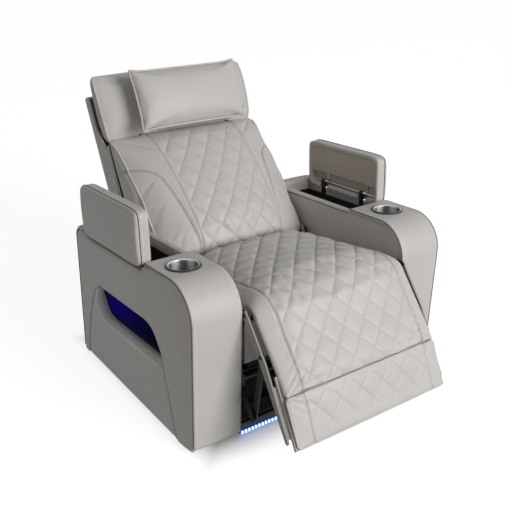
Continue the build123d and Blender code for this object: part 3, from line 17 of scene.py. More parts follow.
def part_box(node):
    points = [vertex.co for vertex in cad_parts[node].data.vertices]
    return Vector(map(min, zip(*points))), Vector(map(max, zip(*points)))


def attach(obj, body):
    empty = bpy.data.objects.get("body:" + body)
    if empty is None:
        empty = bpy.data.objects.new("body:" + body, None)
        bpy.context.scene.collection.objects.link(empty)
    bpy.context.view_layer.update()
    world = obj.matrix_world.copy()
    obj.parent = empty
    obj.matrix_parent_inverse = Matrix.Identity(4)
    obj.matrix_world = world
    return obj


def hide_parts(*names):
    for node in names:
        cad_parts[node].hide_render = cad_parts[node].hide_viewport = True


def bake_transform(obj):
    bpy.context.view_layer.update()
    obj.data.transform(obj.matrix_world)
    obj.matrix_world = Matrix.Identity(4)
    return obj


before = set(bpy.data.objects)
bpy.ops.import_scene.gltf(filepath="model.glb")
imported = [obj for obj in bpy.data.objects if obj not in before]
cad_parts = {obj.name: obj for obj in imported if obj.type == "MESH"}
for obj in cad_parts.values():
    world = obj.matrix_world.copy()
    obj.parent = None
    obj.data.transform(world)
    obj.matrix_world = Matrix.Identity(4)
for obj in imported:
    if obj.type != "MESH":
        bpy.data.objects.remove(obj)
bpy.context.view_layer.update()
LOG = logging.getLogger("recliner")
MM = 0.001
TINY = 1e-9  # keeps a division from zero
CUP_AXIS = (384.0, -195.0)  # distance from the middle and Y of the cup holders
STITCH_PROUD = 0.5
WELT_PROUD = 0.8
SEAT_WELT = 3.2  # radius
FOOT_TURN = ((8.0, 0.0), (2.0, 2.0), (0.0, 8.0))  # turned-in foot of an arm strip: inset and rise
# QUILT_LINE also sets how wide the painted shade along a sewn line spreads
QUILT_LINE = 0.05  # width of a sewn line, as a share of a diamond
RESTS = -0.4  # a cushion is held where it faces its frame by more than this cosine
WHITE = (1.0, 1.0, 1.0, 1.0)
Piece = bpy.types.Object
Socket = bpy.types.NodeSocket


class Side(Enum):
    """The sitter's side of the chair; the value is the sign of X."""

    LEFT = 1.0
    RIGHT = -1.0

    @property
    def suffix(self) -> str:
        """Name of the side as the CAD nodes spell it."""
        return self.name.lower()

    @property
    def outward(self) -> tuple[float, float, float]:
        """Direction out of the chair on this side."""
        return (self.value, 0.0, 0.0)

    @property
    def inward(self) -> tuple[float, float, float]:
        """Direction towards the seat on this side."""
        return (-self.value, 0.0, 0.0)


# ---------------------------------------------------------------- curves and grids


def running(points: np.ndarray) -> np.ndarray:
    """Running length of a line at each of its points."""
    return np.concatenate([[0.0], np.cumsum(np.linalg.norm(np.diff(points, axis=0), axis=1))])


def at_lengths(points: np.ndarray, places: np.ndarray) -> np.ndarray:
    """Points of a line at running lengths, straight between its own points."""
    run = running(points)
    return np.stack([np.interp(places, run, column) for column in points.T], axis=1)


def even(points: np.ndarray, count: int) -> np.ndarray:
    """A number of points spaced evenly along a line."""
    return at_lengths(points, np.linspace(0.0, running(points)[-1], count))


def at_shares(points: np.ndarray, shares: np.ndarray) -> np.ndarray:
    """Points of a line at shares, from 0 to 1, of its running length."""
    return at_lengths(points, shares * running(points)[-1])


def unit(rows: np.ndarray) -> np.ndarray:
    """Rows scaled to length 1."""
    return rows / np.maximum(np.linalg.norm(rows, axis=1, keepdims=True), TINY)


def tangents(path: np.ndarray) -> np.ndarray:
    """Unit directions along a line."""
    return unit(np.gradient(path, axis=0))


def beside(line: np.ndarray) -> np.ndarray:
    """Unit directions square to a plane line: (b, -a) for its direction (a, b)."""
    way = tangents(line)
    return np.stack([way[:, 1], -way[:, 0]], axis=1)


def averaged(points: np.ndarray, width: int) -> np.ndarray:
    """Running mean of a line's points over an odd width; it is shorter by width - 1."""
    kernel = np.ones(width) / width
    return np.stack([np.convolve(column, kernel, "valid") for column in points.T], axis=1)


def across(x: float, side: np.ndarray) -> np.ndarray:
    """Side-view line set at one width."""
    return np.column_stack([np.full(len(side), x), side])


def in_space(x: np.ndarray, side: np.ndarray) -> np.ndarray:
    """Grid of points from their widths and their side-view places."""
    return np.concatenate([x[..., None], side], axis=2)


def dense_ends(count: int) -> np.ndarray:
    """Shares from 0 to 1, closer together towards both ends."""
    return (1 - np.cos(np.linspace(0.0, math.pi, count))) / 2


def spanned(bottom: np.ndarray, top: np.ndarray, left: np.ndarray, right: np.ndarray,
            shape: tuple[int, int]) -> np.ndarray:
    """Coons grid inside four plane lines that meet at their ends.

    Args:
        bottom: Line from the lower left to the lower right corner.
        top: Line from the upper left to the upper right corner.
        left: Line from the lower left to the upper left corner.
        right: Line from the lower right to the upper right corner.
        shape: Points along the bottom and up the sides.

    Returns:
        Plane points, along the bottom by up the sides.
    """
    u, v = dense_ends(shape[0]), dense_ends(shape[1])
    a, b = u[:, None, None], v[None, :, None]
    foot, head = at_shares(bottom, u)[:, None], at_shares(top, u)[:, None]
    west, east = at_shares(left, v)[None], at_shares(right, v)[None]
    corners = (1 - b) * ((1 - a) * bottom[0] + a * bottom[-1]) + b * ((1 - a) * top[0] + a * top[-1])
    return (1 - b) * foot + b * head + (1 - a) * west + a * east - corners



def smooth_line(points: Sequence[Sequence[float]], count: int) -> np.ndarray:
    """Catmull-Rom cubic through the points, resampled evenly by length.

    Args:
        points: Points that the line passes through.
        count: Number of points wanted.

    Returns:
        The smooth line.
    """
    given = np.asarray(points, float)
    padded = np.vstack([2 * given[0] - given[1], given, 2 * given[-1] - given[-2]])
    place = np.linspace(0.0, len(given) - 1.0, 48 * len(given))
    index = np.minimum(place.astype(int), len(given) - 2)
    share = (place - index)[:, None]
    a, b, c, d = (padded[index + k] for k in range(4))
    square, cube = 2 * a - 5 * b + 4 * c - d, 3 * b - a - 3 * c + d
    cubic = 2 * b + (c - a) * share + square * share**2 + cube * share**3
    return even(0.5 * cubic, count)


def rounded_line(corners: Sequence[Sequence[float]], radii: Sequence[float], count: int) -> np.ndarray:
    """Open line of straight runs whose inner corners are rounded by quadratic curves.

    Args:
        corners: Corner points of the line.
        radii: Rounding length along each run at every inner corner.
        count: Number of points wanted.

    Returns:
        The rounded line, even by length.
    """
    given = np.asarray(corners, float)
    share = np.linspace(0.0, 1.0, 12)[:, None]
    runs = [given[:1]]
    for before, corner, after, radius in zip(given[:-2], given[1:-1], given[2:], radii):
        start = corner + (before - corner) * radius / np.linalg.norm(before - corner)
        end = corner + (after - corner) * radius / np.linalg.norm(after - corner)
        runs.append((1 - share) ** 2 * start + 2 * share * (1 - share) * corner + share**2 * end)
    runs.append(given[-1:])
    return even(np.vstack(runs), count)


def ease(value: np.ndarray, low: float, high: float) -> np.ndarray:
    """Smooth step from 0 at low to 1 at high."""
    share = np.clip((value - low) / (high - low), 0.0, 1.0)
    return share * share * (3.0 - 2.0 * share)


def roll(distance: np.ndarray, radius: float) -> np.ndarray:
    """Drop of a quarter-round edge at a distance in from it: radius at the edge, 0 beyond the radius."""
    inside = np.clip(radius - distance, 0.0, radius)
    return radius - np.sqrt(radius**2 - inside**2)


def groove(distance: np.ndarray, width: float) -> np.ndarray:
    """Share of a groove's depth at a distance from its middle: e^-(distance / width)^2."""
    return np.exp(-((distance / width) ** 2))


def line_distance(points: np.ndarray, line: np.ndarray) -> np.ndarray:
    """Distance of plane points from the nearest straight run of a line.

    Args:
        points: Points, two columns.
        line: Line points, two columns.

    Returns:
        One distance per point.
    """
    start, run = line[:-1], np.diff(line, axis=0)
    offset = points[:, None, :] - start[None]
    share = np.clip((offset * run).sum(2) / (run * run).sum(1), 0.0, 1.0)
    return np.linalg.norm(offset - share[..., None] * run, axis=2).min(1)


def nearest(points: np.ndarray, targets: np.ndarray) -> np.ndarray:
    """Index of the nearest target for each point, worked out in blocks of rows.

    Args:
        points: Points, one per row.
        targets: Points to choose from.

    Returns:
        One index per point.
    """
    blocks = np.array_split(points, max(1, len(points) * len(targets) // 4_000_000))
    found = [((block[:, None, :] - targets[None]) ** 2).sum(2).argmin(1) for block in blocks]
    return np.concatenate(found)


# ---------------------------------------------------------------- meshes


@dataclass
class Patch:
    """A grid of points, rows by columns, closed along either way if it wraps."""

    points: np.ndarray
    wrap_rows: bool = False
    wrap_columns: bool = False

    def faces(self) -> np.ndarray:
        """Corner numbers of the grid's quads.

        Returns:
            Four corner numbers per quad.
        """
        rows, columns = self.points.shape[:2]
        row = np.arange(rows if self.wrap_rows else rows - 1)[:, None]
        column = np.arange(columns if self.wrap_columns else columns - 1)[None]
        next_row, next_column = (row + 1) % rows, (column + 1) % columns
        corners = [row * columns + column, row * columns + next_column]
        corners += [next_row * columns + next_column, next_row * columns + column]
        return np.stack([np.broadcast_to(c, (row.size, column.size)).ravel() for c in corners], axis=1)


def mesh_piece(name: str, points: np.ndarray, faces: np.ndarray, finish: "Finish",
               outward: Sequence[float] | None = None) -> Piece:
    """Make a smooth-shaded mesh object whose faces point outwards.

    Args:
        name: Object name.
        points: Vertices in millimetres.
        faces: Corner numbers of the quads.
        finish: Finish of the piece.
        outward: Way that an open sheet faces; a closed form is turned by its signed volume.

    Returns:
        The new object.
    """
    a, b, c, d = (points[faces[:, k]] for k in range(4))
    area = np.cross(c - a, d - b)
    facing = area.sum(0) @ np.asarray(outward) if outward is not None else (area * (a + b + c + d)).sum()
    turned = faces if facing >= 0 else faces[:, ::-1]
    mesh = bpy.data.meshes.new(name)
    mesh.from_pydata(points * MM, [], turned.tolist())
    mesh.validate()
    mesh.shade_smooth()
    mesh.materials.append(finish.material())
    piece = bpy.data.objects.new(name, mesh)
    bpy.context.scene.collection.objects.link(piece)
    return piece


def patch_piece(name: str, patches: Sequence[Patch], finish: "Finish",
                outward: Sequence[float] | None = None,
                keep: Callable[[np.ndarray], np.ndarray] | None = None) -> Piece:
    """Make one object from grids.

    Args:
        name: Object name.
        patches: The grids.
        finish: Finish of the piece.
        outward: Way that an open sheet faces.
        keep: Says for vertices which may stay; a face with no such vertex goes.

    Returns:
        The new object.
    """
    points = np.vstack([patch.points.reshape(-1, 3) for patch in patches])
    starts = np.cumsum([0] + [patch.points.shape[0] * patch.points.shape[1] for patch in patches])
    faces = np.vstack([patch.faces() + start for patch, start in zip(patches, starts)])
    if keep is not None:
        faces = faces[keep(points)[faces].any(1)]
    return mesh_piece(name, points, faces, finish, outward)


def sweep(path: np.ndarray, profile: np.ndarray, side: np.ndarray, up: np.ndarray,
          closed: bool = False) -> Patch:
    """Carry a profile along a path: path point + side x profile width + up x profile height.

    Args:
        path: Points of the path.
        profile: Closed profile, two columns: along side and along up.
        side: Side direction at each path point.
        up: Upward direction at each path point.
        closed: Whether the path closes on itself.

    Returns:
        The swept grid.
    """
    spread = side[:, None] * profile[None, :, :1] + up[:, None] * profile[None, :, 1:]
    return Patch(path[:, None] + spread, wrap_rows=closed, wrap_columns=True)


def cord_patch(path: np.ndarray, radius: float, normal: np.ndarray, closed: bool = False) -> Patch:
    """Round welt: a circle of 8 points carried along a path, drawn in to a point at open ends.

    Args:
        path: Line that the welt follows.
        radius: Radius of the welt.
        normal: Surface direction at each path point.
        closed: Whether the path closes.

    Returns:
        The welt's grid.
    """
    angle = np.arange(8) * math.tau / 8
    circle = radius * np.stack([np.cos(angle), np.sin(angle)], axis=1)
    way = tangents(path)
    side = unit(np.cross(way, normal))
    patch = sweep(path, circle, side, np.cross(side, way), closed)
    if not closed:
        patch.points[[0, -1]] = path[[0, -1], None]
    return patch


def stitch_points(path: np.ndarray, normal: np.ndarray, length: float, gap: float,
                  radius: float) -> tuple[np.ndarray, np.ndarray]:
    """Row of thread stitches: spindles of 3 rings by 5 points laid along a path.

    Args:
        path: Line that the row follows.
        normal: Surface direction at each path point.
        length: Length of one stitch.
        gap: Gap between stitches.
        radius: Thread radius.

    Returns:
        Vertices and quads of the whole row.
    """
    count = max(2, int(running(path)[-1] / (length + gap)))
    both = even(np.hstack([path, normal * 0.001]), count)
    place, up = both[:, :3], unit(both[:, 3:])
    way = tangents(place)
    side = np.cross(way, up)
    angle = np.arange(5) * math.tau / 5
    reach = np.array([-0.5, -0.3, 0.3, 0.5]) * length
    girth = np.array([0.15, 1.0, 1.0, 0.15]) * radius
    rings = (place[:, None, None] + way[:, None, None] * reach[None, :, None, None]
             + side[:, None, None] * (girth[:, None] * np.cos(angle))[None, :, :, None]
             + up[:, None, None] * (girth[:, None] * np.sin(angle))[None, :, :, None])
    faces = Patch(rings[0], wrap_columns=True).faces()
    starts = np.arange(len(place))[:, None, None] * 20
    return rings.reshape(-1, 3), (faces[None] + starts).reshape(-1, 4)


# ---------------------------------------------------------------- soft forms


def mesh_arrays(piece: Piece) -> tuple[np.ndarray, np.ndarray]:
    """Vertices in millimetres and unit normals of a mesh object.

    Args:
        piece: A mesh object.

    Returns:
        Vertices and normals, one per row.
    """
    count = len(piece.data.vertices)
    points, normals = np.empty(count * 3, np.float32), np.empty(count * 3, np.float32)
    piece.data.vertices.foreach_get("co", points)
    piece.data.vertex_normals.foreach_get("vector", normals)
    return points.reshape(-1, 3).astype(float) / MM, normals.reshape(-1, 3).astype(float)


def set_points(piece: Piece, points: np.ndarray) -> None:
    """Put vertices, in millimetres, back into a mesh object."""
    piece.data.vertices.foreach_set("co", (points * MM).astype(np.float32).ravel())
    piece.data.update()


def apply_modifiers(piece: Piece) -> None:
    """Turn the modifiers' result into the piece's own mesh.

    Args:
        piece: A mesh object with modifiers.
    """
    bpy.context.view_layer.update()
    shaped = bpy.data.meshes.new_from_object(piece.evaluated_get(bpy.context.evaluated_depsgraph_get()))
    piece.modifiers.clear()
    piece.data = shaped
    shaped.shade_smooth()


@dataclass(frozen=True)
class Filling:
    """How a cushion is filled: remesh size, air pressure and how far its cover may move."""

    voxel: float = 6.0
    pressure: float = 4.0
    cap: float = 12.0
    frames: int = 20

    def swell(self, piece: Piece, rests: Callable[[np.ndarray, np.ndarray], np.ndarray]) -> None:
        """Remesh a closed form and blow it up as cloth, held where it rests on its frame.

        Args:
            piece: Closed form, which gets the swollen mesh.
            rests: Says for points and normals which vertices are held.
        """
        remesh = piece.modifiers.new("Remesh", "REMESH")
        remesh.mode = "VOXEL"
        remesh.voxel_size = self.voxel * MM
        apply_modifiers(piece)
        points, normals = mesh_arrays(piece)
        held = piece.vertex_groups.new(name="held")
        held.add(np.flatnonzero(rests(points, normals)).tolist(), 1.0, "REPLACE")
        cloth = piece.modifiers.new("Swell", "CLOTH")
        cloth.settings.vertex_group_mass = "held"
        cloth.settings.use_pressure = True
        cloth.settings.uniform_pressure_force = self.pressure
        cloth.settings.effector_weights.gravity = 0.0
        scene = bpy.context.scene
        for step in range(1, self.frames + 1):
            scene.frame_set(step)
        apply_modifiers(piece)
        scene.frame_set(1)
        moved = mesh_arrays(piece)[0] - points
        reach = np.maximum(np.linalg.norm(moved, axis=1, keepdims=True), TINY)
        set_points(piece, points + moved / reach * self.cap * np.tanh(reach / self.cap))
        piece.vertex_groups.clear()
        finer = piece.modifiers.new("Finer", "SUBSURF")
        finer.levels = finer.render_levels = 1
        apply_modifiers(piece)


def sew(piece: Piece, lift: np.ndarray, normals: np.ndarray, crease: np.ndarray) -> None:
    """Move a cover along its normals and keep how deep each point lies in a seam, as a share of painted seam
    shade.

    Args:
        piece: The cushion.
        lift: Distance of each vertex along its normal.
        normals: Vertex normals.
        crease: Share of painted shade, from 0, open leather, to 1, the bottom of a seam.
    """
    points = mesh_arrays(piece)[0]
    set_points(piece, points + normals * lift[:, None])
    # the share is kept on the mesh so that the leather paints shade into the seams
    shade = piece.data.attributes.new("crease", "FLOAT", "POINT")
    shade.data.foreach_set("value", crease.astype(np.float32))


def diamond_distance(across: np.ndarray, along: np.ndarray, half: tuple[float, float]) -> np.ndarray:
    """Distance from the nearest line of a diamond lattice, as a share of a diamond's inner radius.

    The two families of lines are across / half[0] +- along / half[1] = a whole odd number.
    """
    families = [across / half[0] + along / half[1], across / half[0] - along / half[1]]
    return np.min([np.abs((f + 1.0) % 2.0 - 1.0) for f in families], axis=0)


def puff(share: np.ndarray) -> np.ndarray:
    """Pillow of padding between sewn lines: an ellipse that is steep at the line, flat in the middle."""
    return np.sqrt(np.clip(1.0 - (1.0 - np.clip(share, 0.0, 1.0)) ** 2, 0.0, 1.0))


def settle(path: np.ndarray, piece: Piece, proud: float) -> tuple[np.ndarray, np.ndarray]:
    """Lay a line on a cushion: each point moves onto the tangent plane of the nearest vertex.

    Args:
        path: Line near the surface.
        piece: The cushion.
        proud: How far the line stands off the surface.

    Returns:
        The laid line and the surface directions under it.
    """
    width = 5
    ends = ((width // 2, width // 2), (0, 0))
    points, normals = mesh_arrays(piece)
    found = nearest(path, points)
    normal = unit(averaged(np.pad(normals[found], ends, mode="edge"), width))
    rise = ((points[found] - path) * normal).sum(1, keepdims=True)
    laid = path + normal * (rise + proud)
    return averaged(np.pad(laid, ends, mode="edge"), width), normal


def closed_loft(sections: np.ndarray) -> Patch:
    """Close a run of closed sections at both ends by drawing the last ones in to their middles.

    Args:
        sections: Closed sections, sections by points.

    Returns:
        The closed grid.
    """
    middle_first, middle_last = (s.mean(1, keepdims=True) for s in (sections[:1], sections[-1:]))
    shares = np.array([0.0, 0.5, 0.85])[:, None, None]
    first = middle_first + (sections[:1] - middle_first) * shares
    last = middle_last + (sections[-1:] - middle_last) * shares[::-1]
    return Patch(np.concatenate([first, sections, last]), wrap_columns=True)


def slab_section(half: np.ndarray, low: np.ndarray, edge: np.ndarray, crown: np.ndarray, power: float = 2.0,
                 count: int = 128) -> tuple[np.ndarray, np.ndarray]:
    """Cushion sections: a squared ellipse between low and edge, its upper half raised to a crown.

    Width is half x sgn(cos)|cos|^0.25, height runs from low to edge by sgn(sin)|sin|^0.5 (0.22 below),
    and the upper half gains (crown - edge) x (1 - |width / half|^power).

    Args:
        half: Half width of each section.
        low: Height of the underside.
        edge: Height of the top at the sides.
        crown: Height of the top in the middle.
        power: How flat the crown is: 2 is one even curve, more is flatter.
        count: Points round each section.

    Returns:
        Widths and heights, sections by points.
    """
    angle = np.arange(count) * math.tau / count
    wide = np.sign(np.cos(angle)) * np.abs(np.cos(angle)) ** 0.25
    tall = np.sign(np.sin(angle)) * np.abs(np.sin(angle)) ** np.where(np.sin(angle) > 0, 0.5, 0.22)
    height = (low + edge)[:, None] / 2 + (edge - low)[:, None] / 2 * tall
    upper = np.clip(0.5 + 0.5 * tall, 0, 1) ** 2
    height = height + (crown - edge)[:, None] * (1 - np.abs(wide) ** power) * upper
    return half[:, None] * wide, height


# ---------------------------------------------------------------- finishes


def linear(code: str) -> tuple[float, float, float, float]:
    """Linear colour of an sRGB hex value."""
    parts = [int(code[k:k + 2], 16) / 255 for k in (1, 3, 5)]
    return (*[p / 12.92 if p <= 0.04045 else ((p + 0.055) / 1.055) ** 2.4 for p in parts], 1.0)


@dataclass(frozen=True)
class Sketch:
    """Node tree of a material, with short ways to add the nodes that most finishes draw."""

    tree: bpy.types.NodeTree

    def node(self, kind: str, inputs: dict | None = None, **settings: object) -> bpy.types.Node:
        """Add a node with its settings, input values and links.

        Args:
            kind: Blender's name of the node type, without ShaderNode.
            inputs: Input name or number to a value, or to the output it is linked from.
            **settings: Attributes of the node.

        Returns:
            The new node.
        """
        made = self.tree.nodes.new("ShaderNode" + kind)
        for key, value in settings.items():
            setattr(made, key, value)
        self.fill(made, inputs or {})
        return made

    def fill(self, node: bpy.types.Node, inputs: dict) -> None:
        """Set a node's inputs to values, or link them from outputs.

        Args:
            node: The node.
            inputs: Input name or number to a value or an output.
        """
        for key, value in inputs.items():
            if isinstance(value, Socket):
                self.tree.links.new(value, node.inputs[key])
            else:
                node.inputs[key].default_value = value

    def place(self) -> Socket:
        """Place on the piece, in metres."""
        return self.node("TexCoord").outputs["Object"]

    def split(self, vector: Socket) -> Sequence[Socket]:
        """The three parts of a vector."""
        return self.node("SeparateXYZ", {0: vector}).outputs

    def math(self, operation: str, *values: Socket | float) -> Socket:
        """Result of one operation."""
        return self.node("Math", dict(enumerate(values)), operation=operation).outputs[0]

    def noise(self, vector: Socket, size: float, **inputs: float) -> Socket:
        """Noise whose features are about a size, in millimetres."""
        return self.node("TexNoise", {"Vector": vector, "Scale": 1000 / size, **inputs}).outputs["Fac"]

    def span(self, value: Socket, low: float, high: float) -> Socket:
        """Spread a share from 0 to 1 over low to high."""
        return self.node("MapRange", {"Value": value, "To Min": low, "To Max": high}).outputs[0]

    def share(self, value: Socket, low: float, high: float, **settings: str) -> Socket:
        """Share, from 0 to 1, of the way from low to high."""
        inputs = {"Value": value, "From Min": low, "From Max": high}
        return self.node("MapRange", inputs, **settings).outputs[0]

    def bump(self, height: Socket, strength: float, depth: float = 0.0004) -> Socket:
        """Normal of a bumped surface; the depth is in metres."""
        return self.node("Bump", {"Strength": strength, "Distance": depth, "Height": height}).outputs[0]

    def mix(self, factor: Socket, first: Socket | tuple, second: Socket | tuple) -> Socket:
        """Colour between two by a factor."""
        return self.node("Mix", {0: factor, 6: first, 7: second}, data_type="RGBA").outputs[2]


@dataclass(frozen=True)
class Finish:
    """A finish of the chair; each kind draws its own surface on a Principled shader."""

    name: str
    dark: str
    light: str

    def material(self) -> bpy.types.Material:
        """The finish's material, made once.

        Returns:
            The material.
        """
        found = bpy.data.materials.get(self.name)
        if found is not None:
            return found
        made = bpy.data.materials.new(self.name)
        made.use_nodes = True
        sketch = Sketch(made.node_tree)
        sketch.fill(made.node_tree.nodes["Principled BSDF"], self.draw(sketch))
        return made

    def draw(self, sketch: Sketch) -> dict:
        """Draw the surface and return the shader's inputs; each finish has its own."""
        raise NotImplementedError

    def tones(self, sketch: Sketch, factor: Socket) -> Socket:
        """Mix the dark and the light tone by a factor."""
        return sketch.mix(factor, linear(self.dark), linear(self.light))


@dataclass(frozen=True)
class GrainedLeather(Finish):
    """Pigmented corrected-grain leather: an even colour, a fine pebble stamped in it, a satin topcoat and
    painted shade in its seams.
    """

    grain: float = 2.4
    cloud: float = 130.0
    fold: float = 22.0
    roughness: float = 0.47
    # colour that the painted seam shade darkens the leather towards
    seam: str = "#8E877F"

    def draw(self, sketch: Sketch) -> dict:
        """Cloudy tone, painted shade in the seams, pebble bump drawn about twice its real size so that it
        shows.

        Args:
            sketch: Node tree to draw in.

        Returns:
            Shader input names to values or outputs.
        """
        place = sketch.place()
        tone = self.tones(sketch, sketch.noise(place, self.cloud, Detail=5.0))
        # painted shade: the stored seam share mixes the tone towards the seam colour
        crease = sketch.node("Attribute", attribute_name="crease").outputs["Fac"]
        pebble = sketch.node("TexVoronoi", {"Vector": place, "Scale": 1000 / self.grain}, feature="F1")
        fold = sketch.noise(place, self.fold, Detail=3.0)
        height = sketch.math("ADD", pebble.outputs["Distance"], fold)
        return {"Base Color": sketch.mix(crease, tone, linear(self.seam)),
                "Roughness": sketch.span(fold, self.roughness - 0.07, self.roughness + 0.08),
                "Normal": sketch.bump(height, 0.16, 0.0008), "IOR": 1.48, "Specular IOR Level": 0.42}


@dataclass(frozen=True)
class WrappedBoard(GrainedLeather):
    """Arm board wrapped in leather above, lined black where it edges the pocket below."""

    lining: str = "#07070C"
    lined_to: float = 334.0

    def draw(self, sketch: Sketch) -> dict:
        """The leather, changed for the lining below a height.

        Args:
            sketch: Node tree to draw in.

        Returns:
            Shader input names to values or outputs.
        """
        inputs = super().draw(sketch)
        above = sketch.math("GREATER_THAN", sketch.split(sketch.place())[2], self.lined_to * MM)
        inputs["Base Color"] = sketch.mix(above, linear(self.lining), inputs["Base Color"])
        return inputs


@dataclass(frozen=True)
class TwistedThread(Finish):
    """Bonded polyester thread: a twisted lay that catches light in short slanting bands."""

    lay: float = 1.5

    def draw(self, sketch: Sketch) -> dict:
        """Slanting bands one lay apart; a wave texture has 20 bands to a unit of scale.

        Args:
            sketch: Node tree to draw in.

        Returns:
            Shader input names to values or outputs.
        """
        bands = sketch.node("TexWave", {"Vector": sketch.place(), "Scale": 1000 / self.lay / 20},
                            bands_direction="DIAGONAL")
        return {"Base Color": self.tones(sketch, bands.outputs["Fac"]), "Roughness": 0.6}


@dataclass(frozen=True)
class BrushedSteel(Finish):
    """Stainless steel or aluminium, brushed: fine lines that spread its highlights."""

    line: float = 1.2
    roughness: float = 0.24

    def draw(self, sketch: Sketch) -> dict:
        """Noise drawn out level, its lines as coarse as the picture can show.

        Args:
            sketch: Node tree to draw in.

        Returns:
            Shader input names to values or outputs.
        """
        level = sketch.node("Mapping", {"Vector": sketch.place(), "Scale": (12.0, 12.0, 1000 / self.line)})
        brush = sketch.noise(level.outputs[0], 1000.0, Detail=2.0)
        return {"Base Color": self.tones(sketch, brush), "Metallic": 1.0, "Normal": sketch.bump(brush, 0.08),
                "Roughness": sketch.span(brush, self.roughness - 0.08, self.roughness + 0.14)}


@dataclass(frozen=True)
class PaintedReflectionCup(Finish):
    """Stainless cup: painted bright and dark reflection bands up its wall, a plain floor, a painted dark
    reflection on the rim against the leather.
    """

    mid: tuple[float, float] = CUP_AXIS
    ring: float = 45.0
    # number of painted reflection bands round the wall
    bands: float = 5.0
    # painted dark reflection on the rim
    edge: str = "#1C1C1E"

    def draw(self, sketch: Sketch) -> dict:
        """Painted reflection bands by the angle round the cup's axis, softened by noise; the painted dark rim
        by the distance from it.

        Args:
            sketch: Node tree to draw in.

        Returns:
            Shader input names to values or outputs.
        """
        where = sketch.node("TexCoord").outputs
        split = sketch.split(where["Object"])
        far = (sketch.math("ABSOLUTE", split[0]), split[1])
        off = [sketch.math("SUBTRACT", place, axis * MM) for place, axis in zip(far, self.mid)]
        angle = sketch.math("ARCTAN2", off[1], off[0])
        drift = sketch.noise(where["Object"], 1000 / 30.0)
        wave = sketch.math("SINE", sketch.math("MULTIPLY_ADD", angle, self.bands, drift))
        level = sketch.math("GREATER_THAN", sketch.split(where["Normal"])[2], 0.5)
        # painted reflection bands on the wall; the cup's floor gets a plain middle tone
        band = sketch.node("Mix", {0: level, 2: sketch.share(wave, -0.7, 0.9), 3: 0.6}).outputs[0]
        # beyond the ring the rim is painted dark as a reflection
        square = sketch.math("ADD", *[sketch.math("MULTIPLY", o, o) for o in off])
        inside = sketch.math("LESS_THAN", square, (self.ring * MM) ** 2)
        return {"Base Color": sketch.mix(inside, linear(self.edge), self.tones(sketch, band)),
                "Metallic": 0.4, "Roughness": 0.3}


@dataclass(frozen=True)
class CoatedMetal(Finish):
    """Powder-coated or plated steel: a fine orange-peel skin, worn a little lighter in patches."""

    metallic: float = 0.0
    roughness: float = 0.45
    peel: float = 3.0
    wear: float = 40.0

    def draw(self, sketch: Sketch) -> dict:
        """Orange peel bump and patches of wear.

        Args:
            sketch: Node tree to draw in.

        Returns:
            Shader input names to values or outputs.
        """
        place = sketch.place()
        patch = sketch.noise(place, self.wear, Detail=6.0)
        return {"Base Color": self.tones(sketch, patch), "Metallic": self.metallic,
                "Roughness": sketch.span(patch, self.roughness - 0.1, self.roughness + 0.12),
                "Normal": sketch.bump(sketch.noise(place, self.peel, Detail=2.0), 0.1)}


@dataclass(frozen=True)
class MouldedPlastic(Finish):
    """Moulded ABS or polypropylene: a spark-eroded grain that dulls its gloss."""

    grain: float = 2.0
    roughness: float = 0.5
    drift: float = 60.0

    def draw(self, sketch: Sketch) -> dict:
        """Fine grain bump, with the tone drifting slowly.

        Args:
            sketch: Node tree to draw in.

        Returns:
            Shader input names to values or outputs.
        """
        place = sketch.place()
        return {"Base Color": self.tones(sketch, sketch.noise(place, self.drift, Detail=3.0)),
                "Roughness": self.roughness,
                "Normal": sketch.bump(sketch.noise(place, self.grain, Detail=4.0), 0.2)}


@dataclass(frozen=True)
class RotaryPlywood(Finish):
    """Rotary-cut birch plywood: long pale figure along the board."""

    figure: float = 28.0

    def draw(self, sketch: Sketch) -> dict:
        """Noise as wide as the figure, drawn out along Y.

        Args:
            sketch: Node tree to draw in.

        Returns:
            Shader input names to values or outputs.
        """
        long = sketch.node("Mapping", {"Vector": sketch.place(), "Scale": (1.0, 0.12, 1.0)})
        grain = sketch.noise(long.outputs[0], self.figure, Detail=8.0, Distortion=0.6)
        return {"Base Color": self.tones(sketch, grain), "Roughness": 0.65}


@dataclass(frozen=True)
class LightStrip(Finish):
    """LED strip under a clear silicone cover: bright points at an even pitch over a dimmer band."""

    pitch: float = 12.0
    strength: float = 6.0
    axis: int = 0

    def draw(self, sketch: Sketch) -> dict:
        """Points of light along one axis, pitch apart: sin^4 of the place along the strip.

        Args:
            sketch: Node tree to draw in.

        Returns:
            Shader input names to values or outputs.
        """
        along = sketch.split(sketch.place())[self.axis]
        wave = sketch.math("SINE", sketch.math("MULTIPLY", along, math.pi * 1000 / self.pitch))
        return {"Emission Color": self.tones(sketch, sketch.math("POWER", wave, 4.0)),
                "Emission Strength": self.strength, "Base Color": linear(self.light), "Roughness": 0.25}


@dataclass(frozen=True)
class PaintedLightLiner(Finish):
    """Black moulded liner with painted blue light standing for the strip's light: bright under the strip,
    black at the front floor.
    """

    rear: float = 190.0
    reach: float = 330.0
    strength: float = 0.42
    base: str = "#0B0B12"

    def draw(self, sketch: Sketch) -> dict:
        """Painted blue light that fades from the strip's end along Y: the share of its reach to the power
        2.2.

        Args:
            sketch: Node tree to draw in.

        Returns:
            Shader input names to values or outputs.
        """
        place = sketch.place()
        fade = sketch.share(sketch.split(place)[1], (self.rear - self.reach) * MM, self.rear * MM)
        # painted light: the liner emits though it is no lamp
        return {"Emission Color": self.tones(sketch, sketch.math("POWER", fade, 2.2)),
                "Emission Strength": self.strength, "Base Color": linear(self.base), "Roughness": 0.45,
                "Normal": sketch.bump(sketch.noise(place, 3.0), 0.2)}


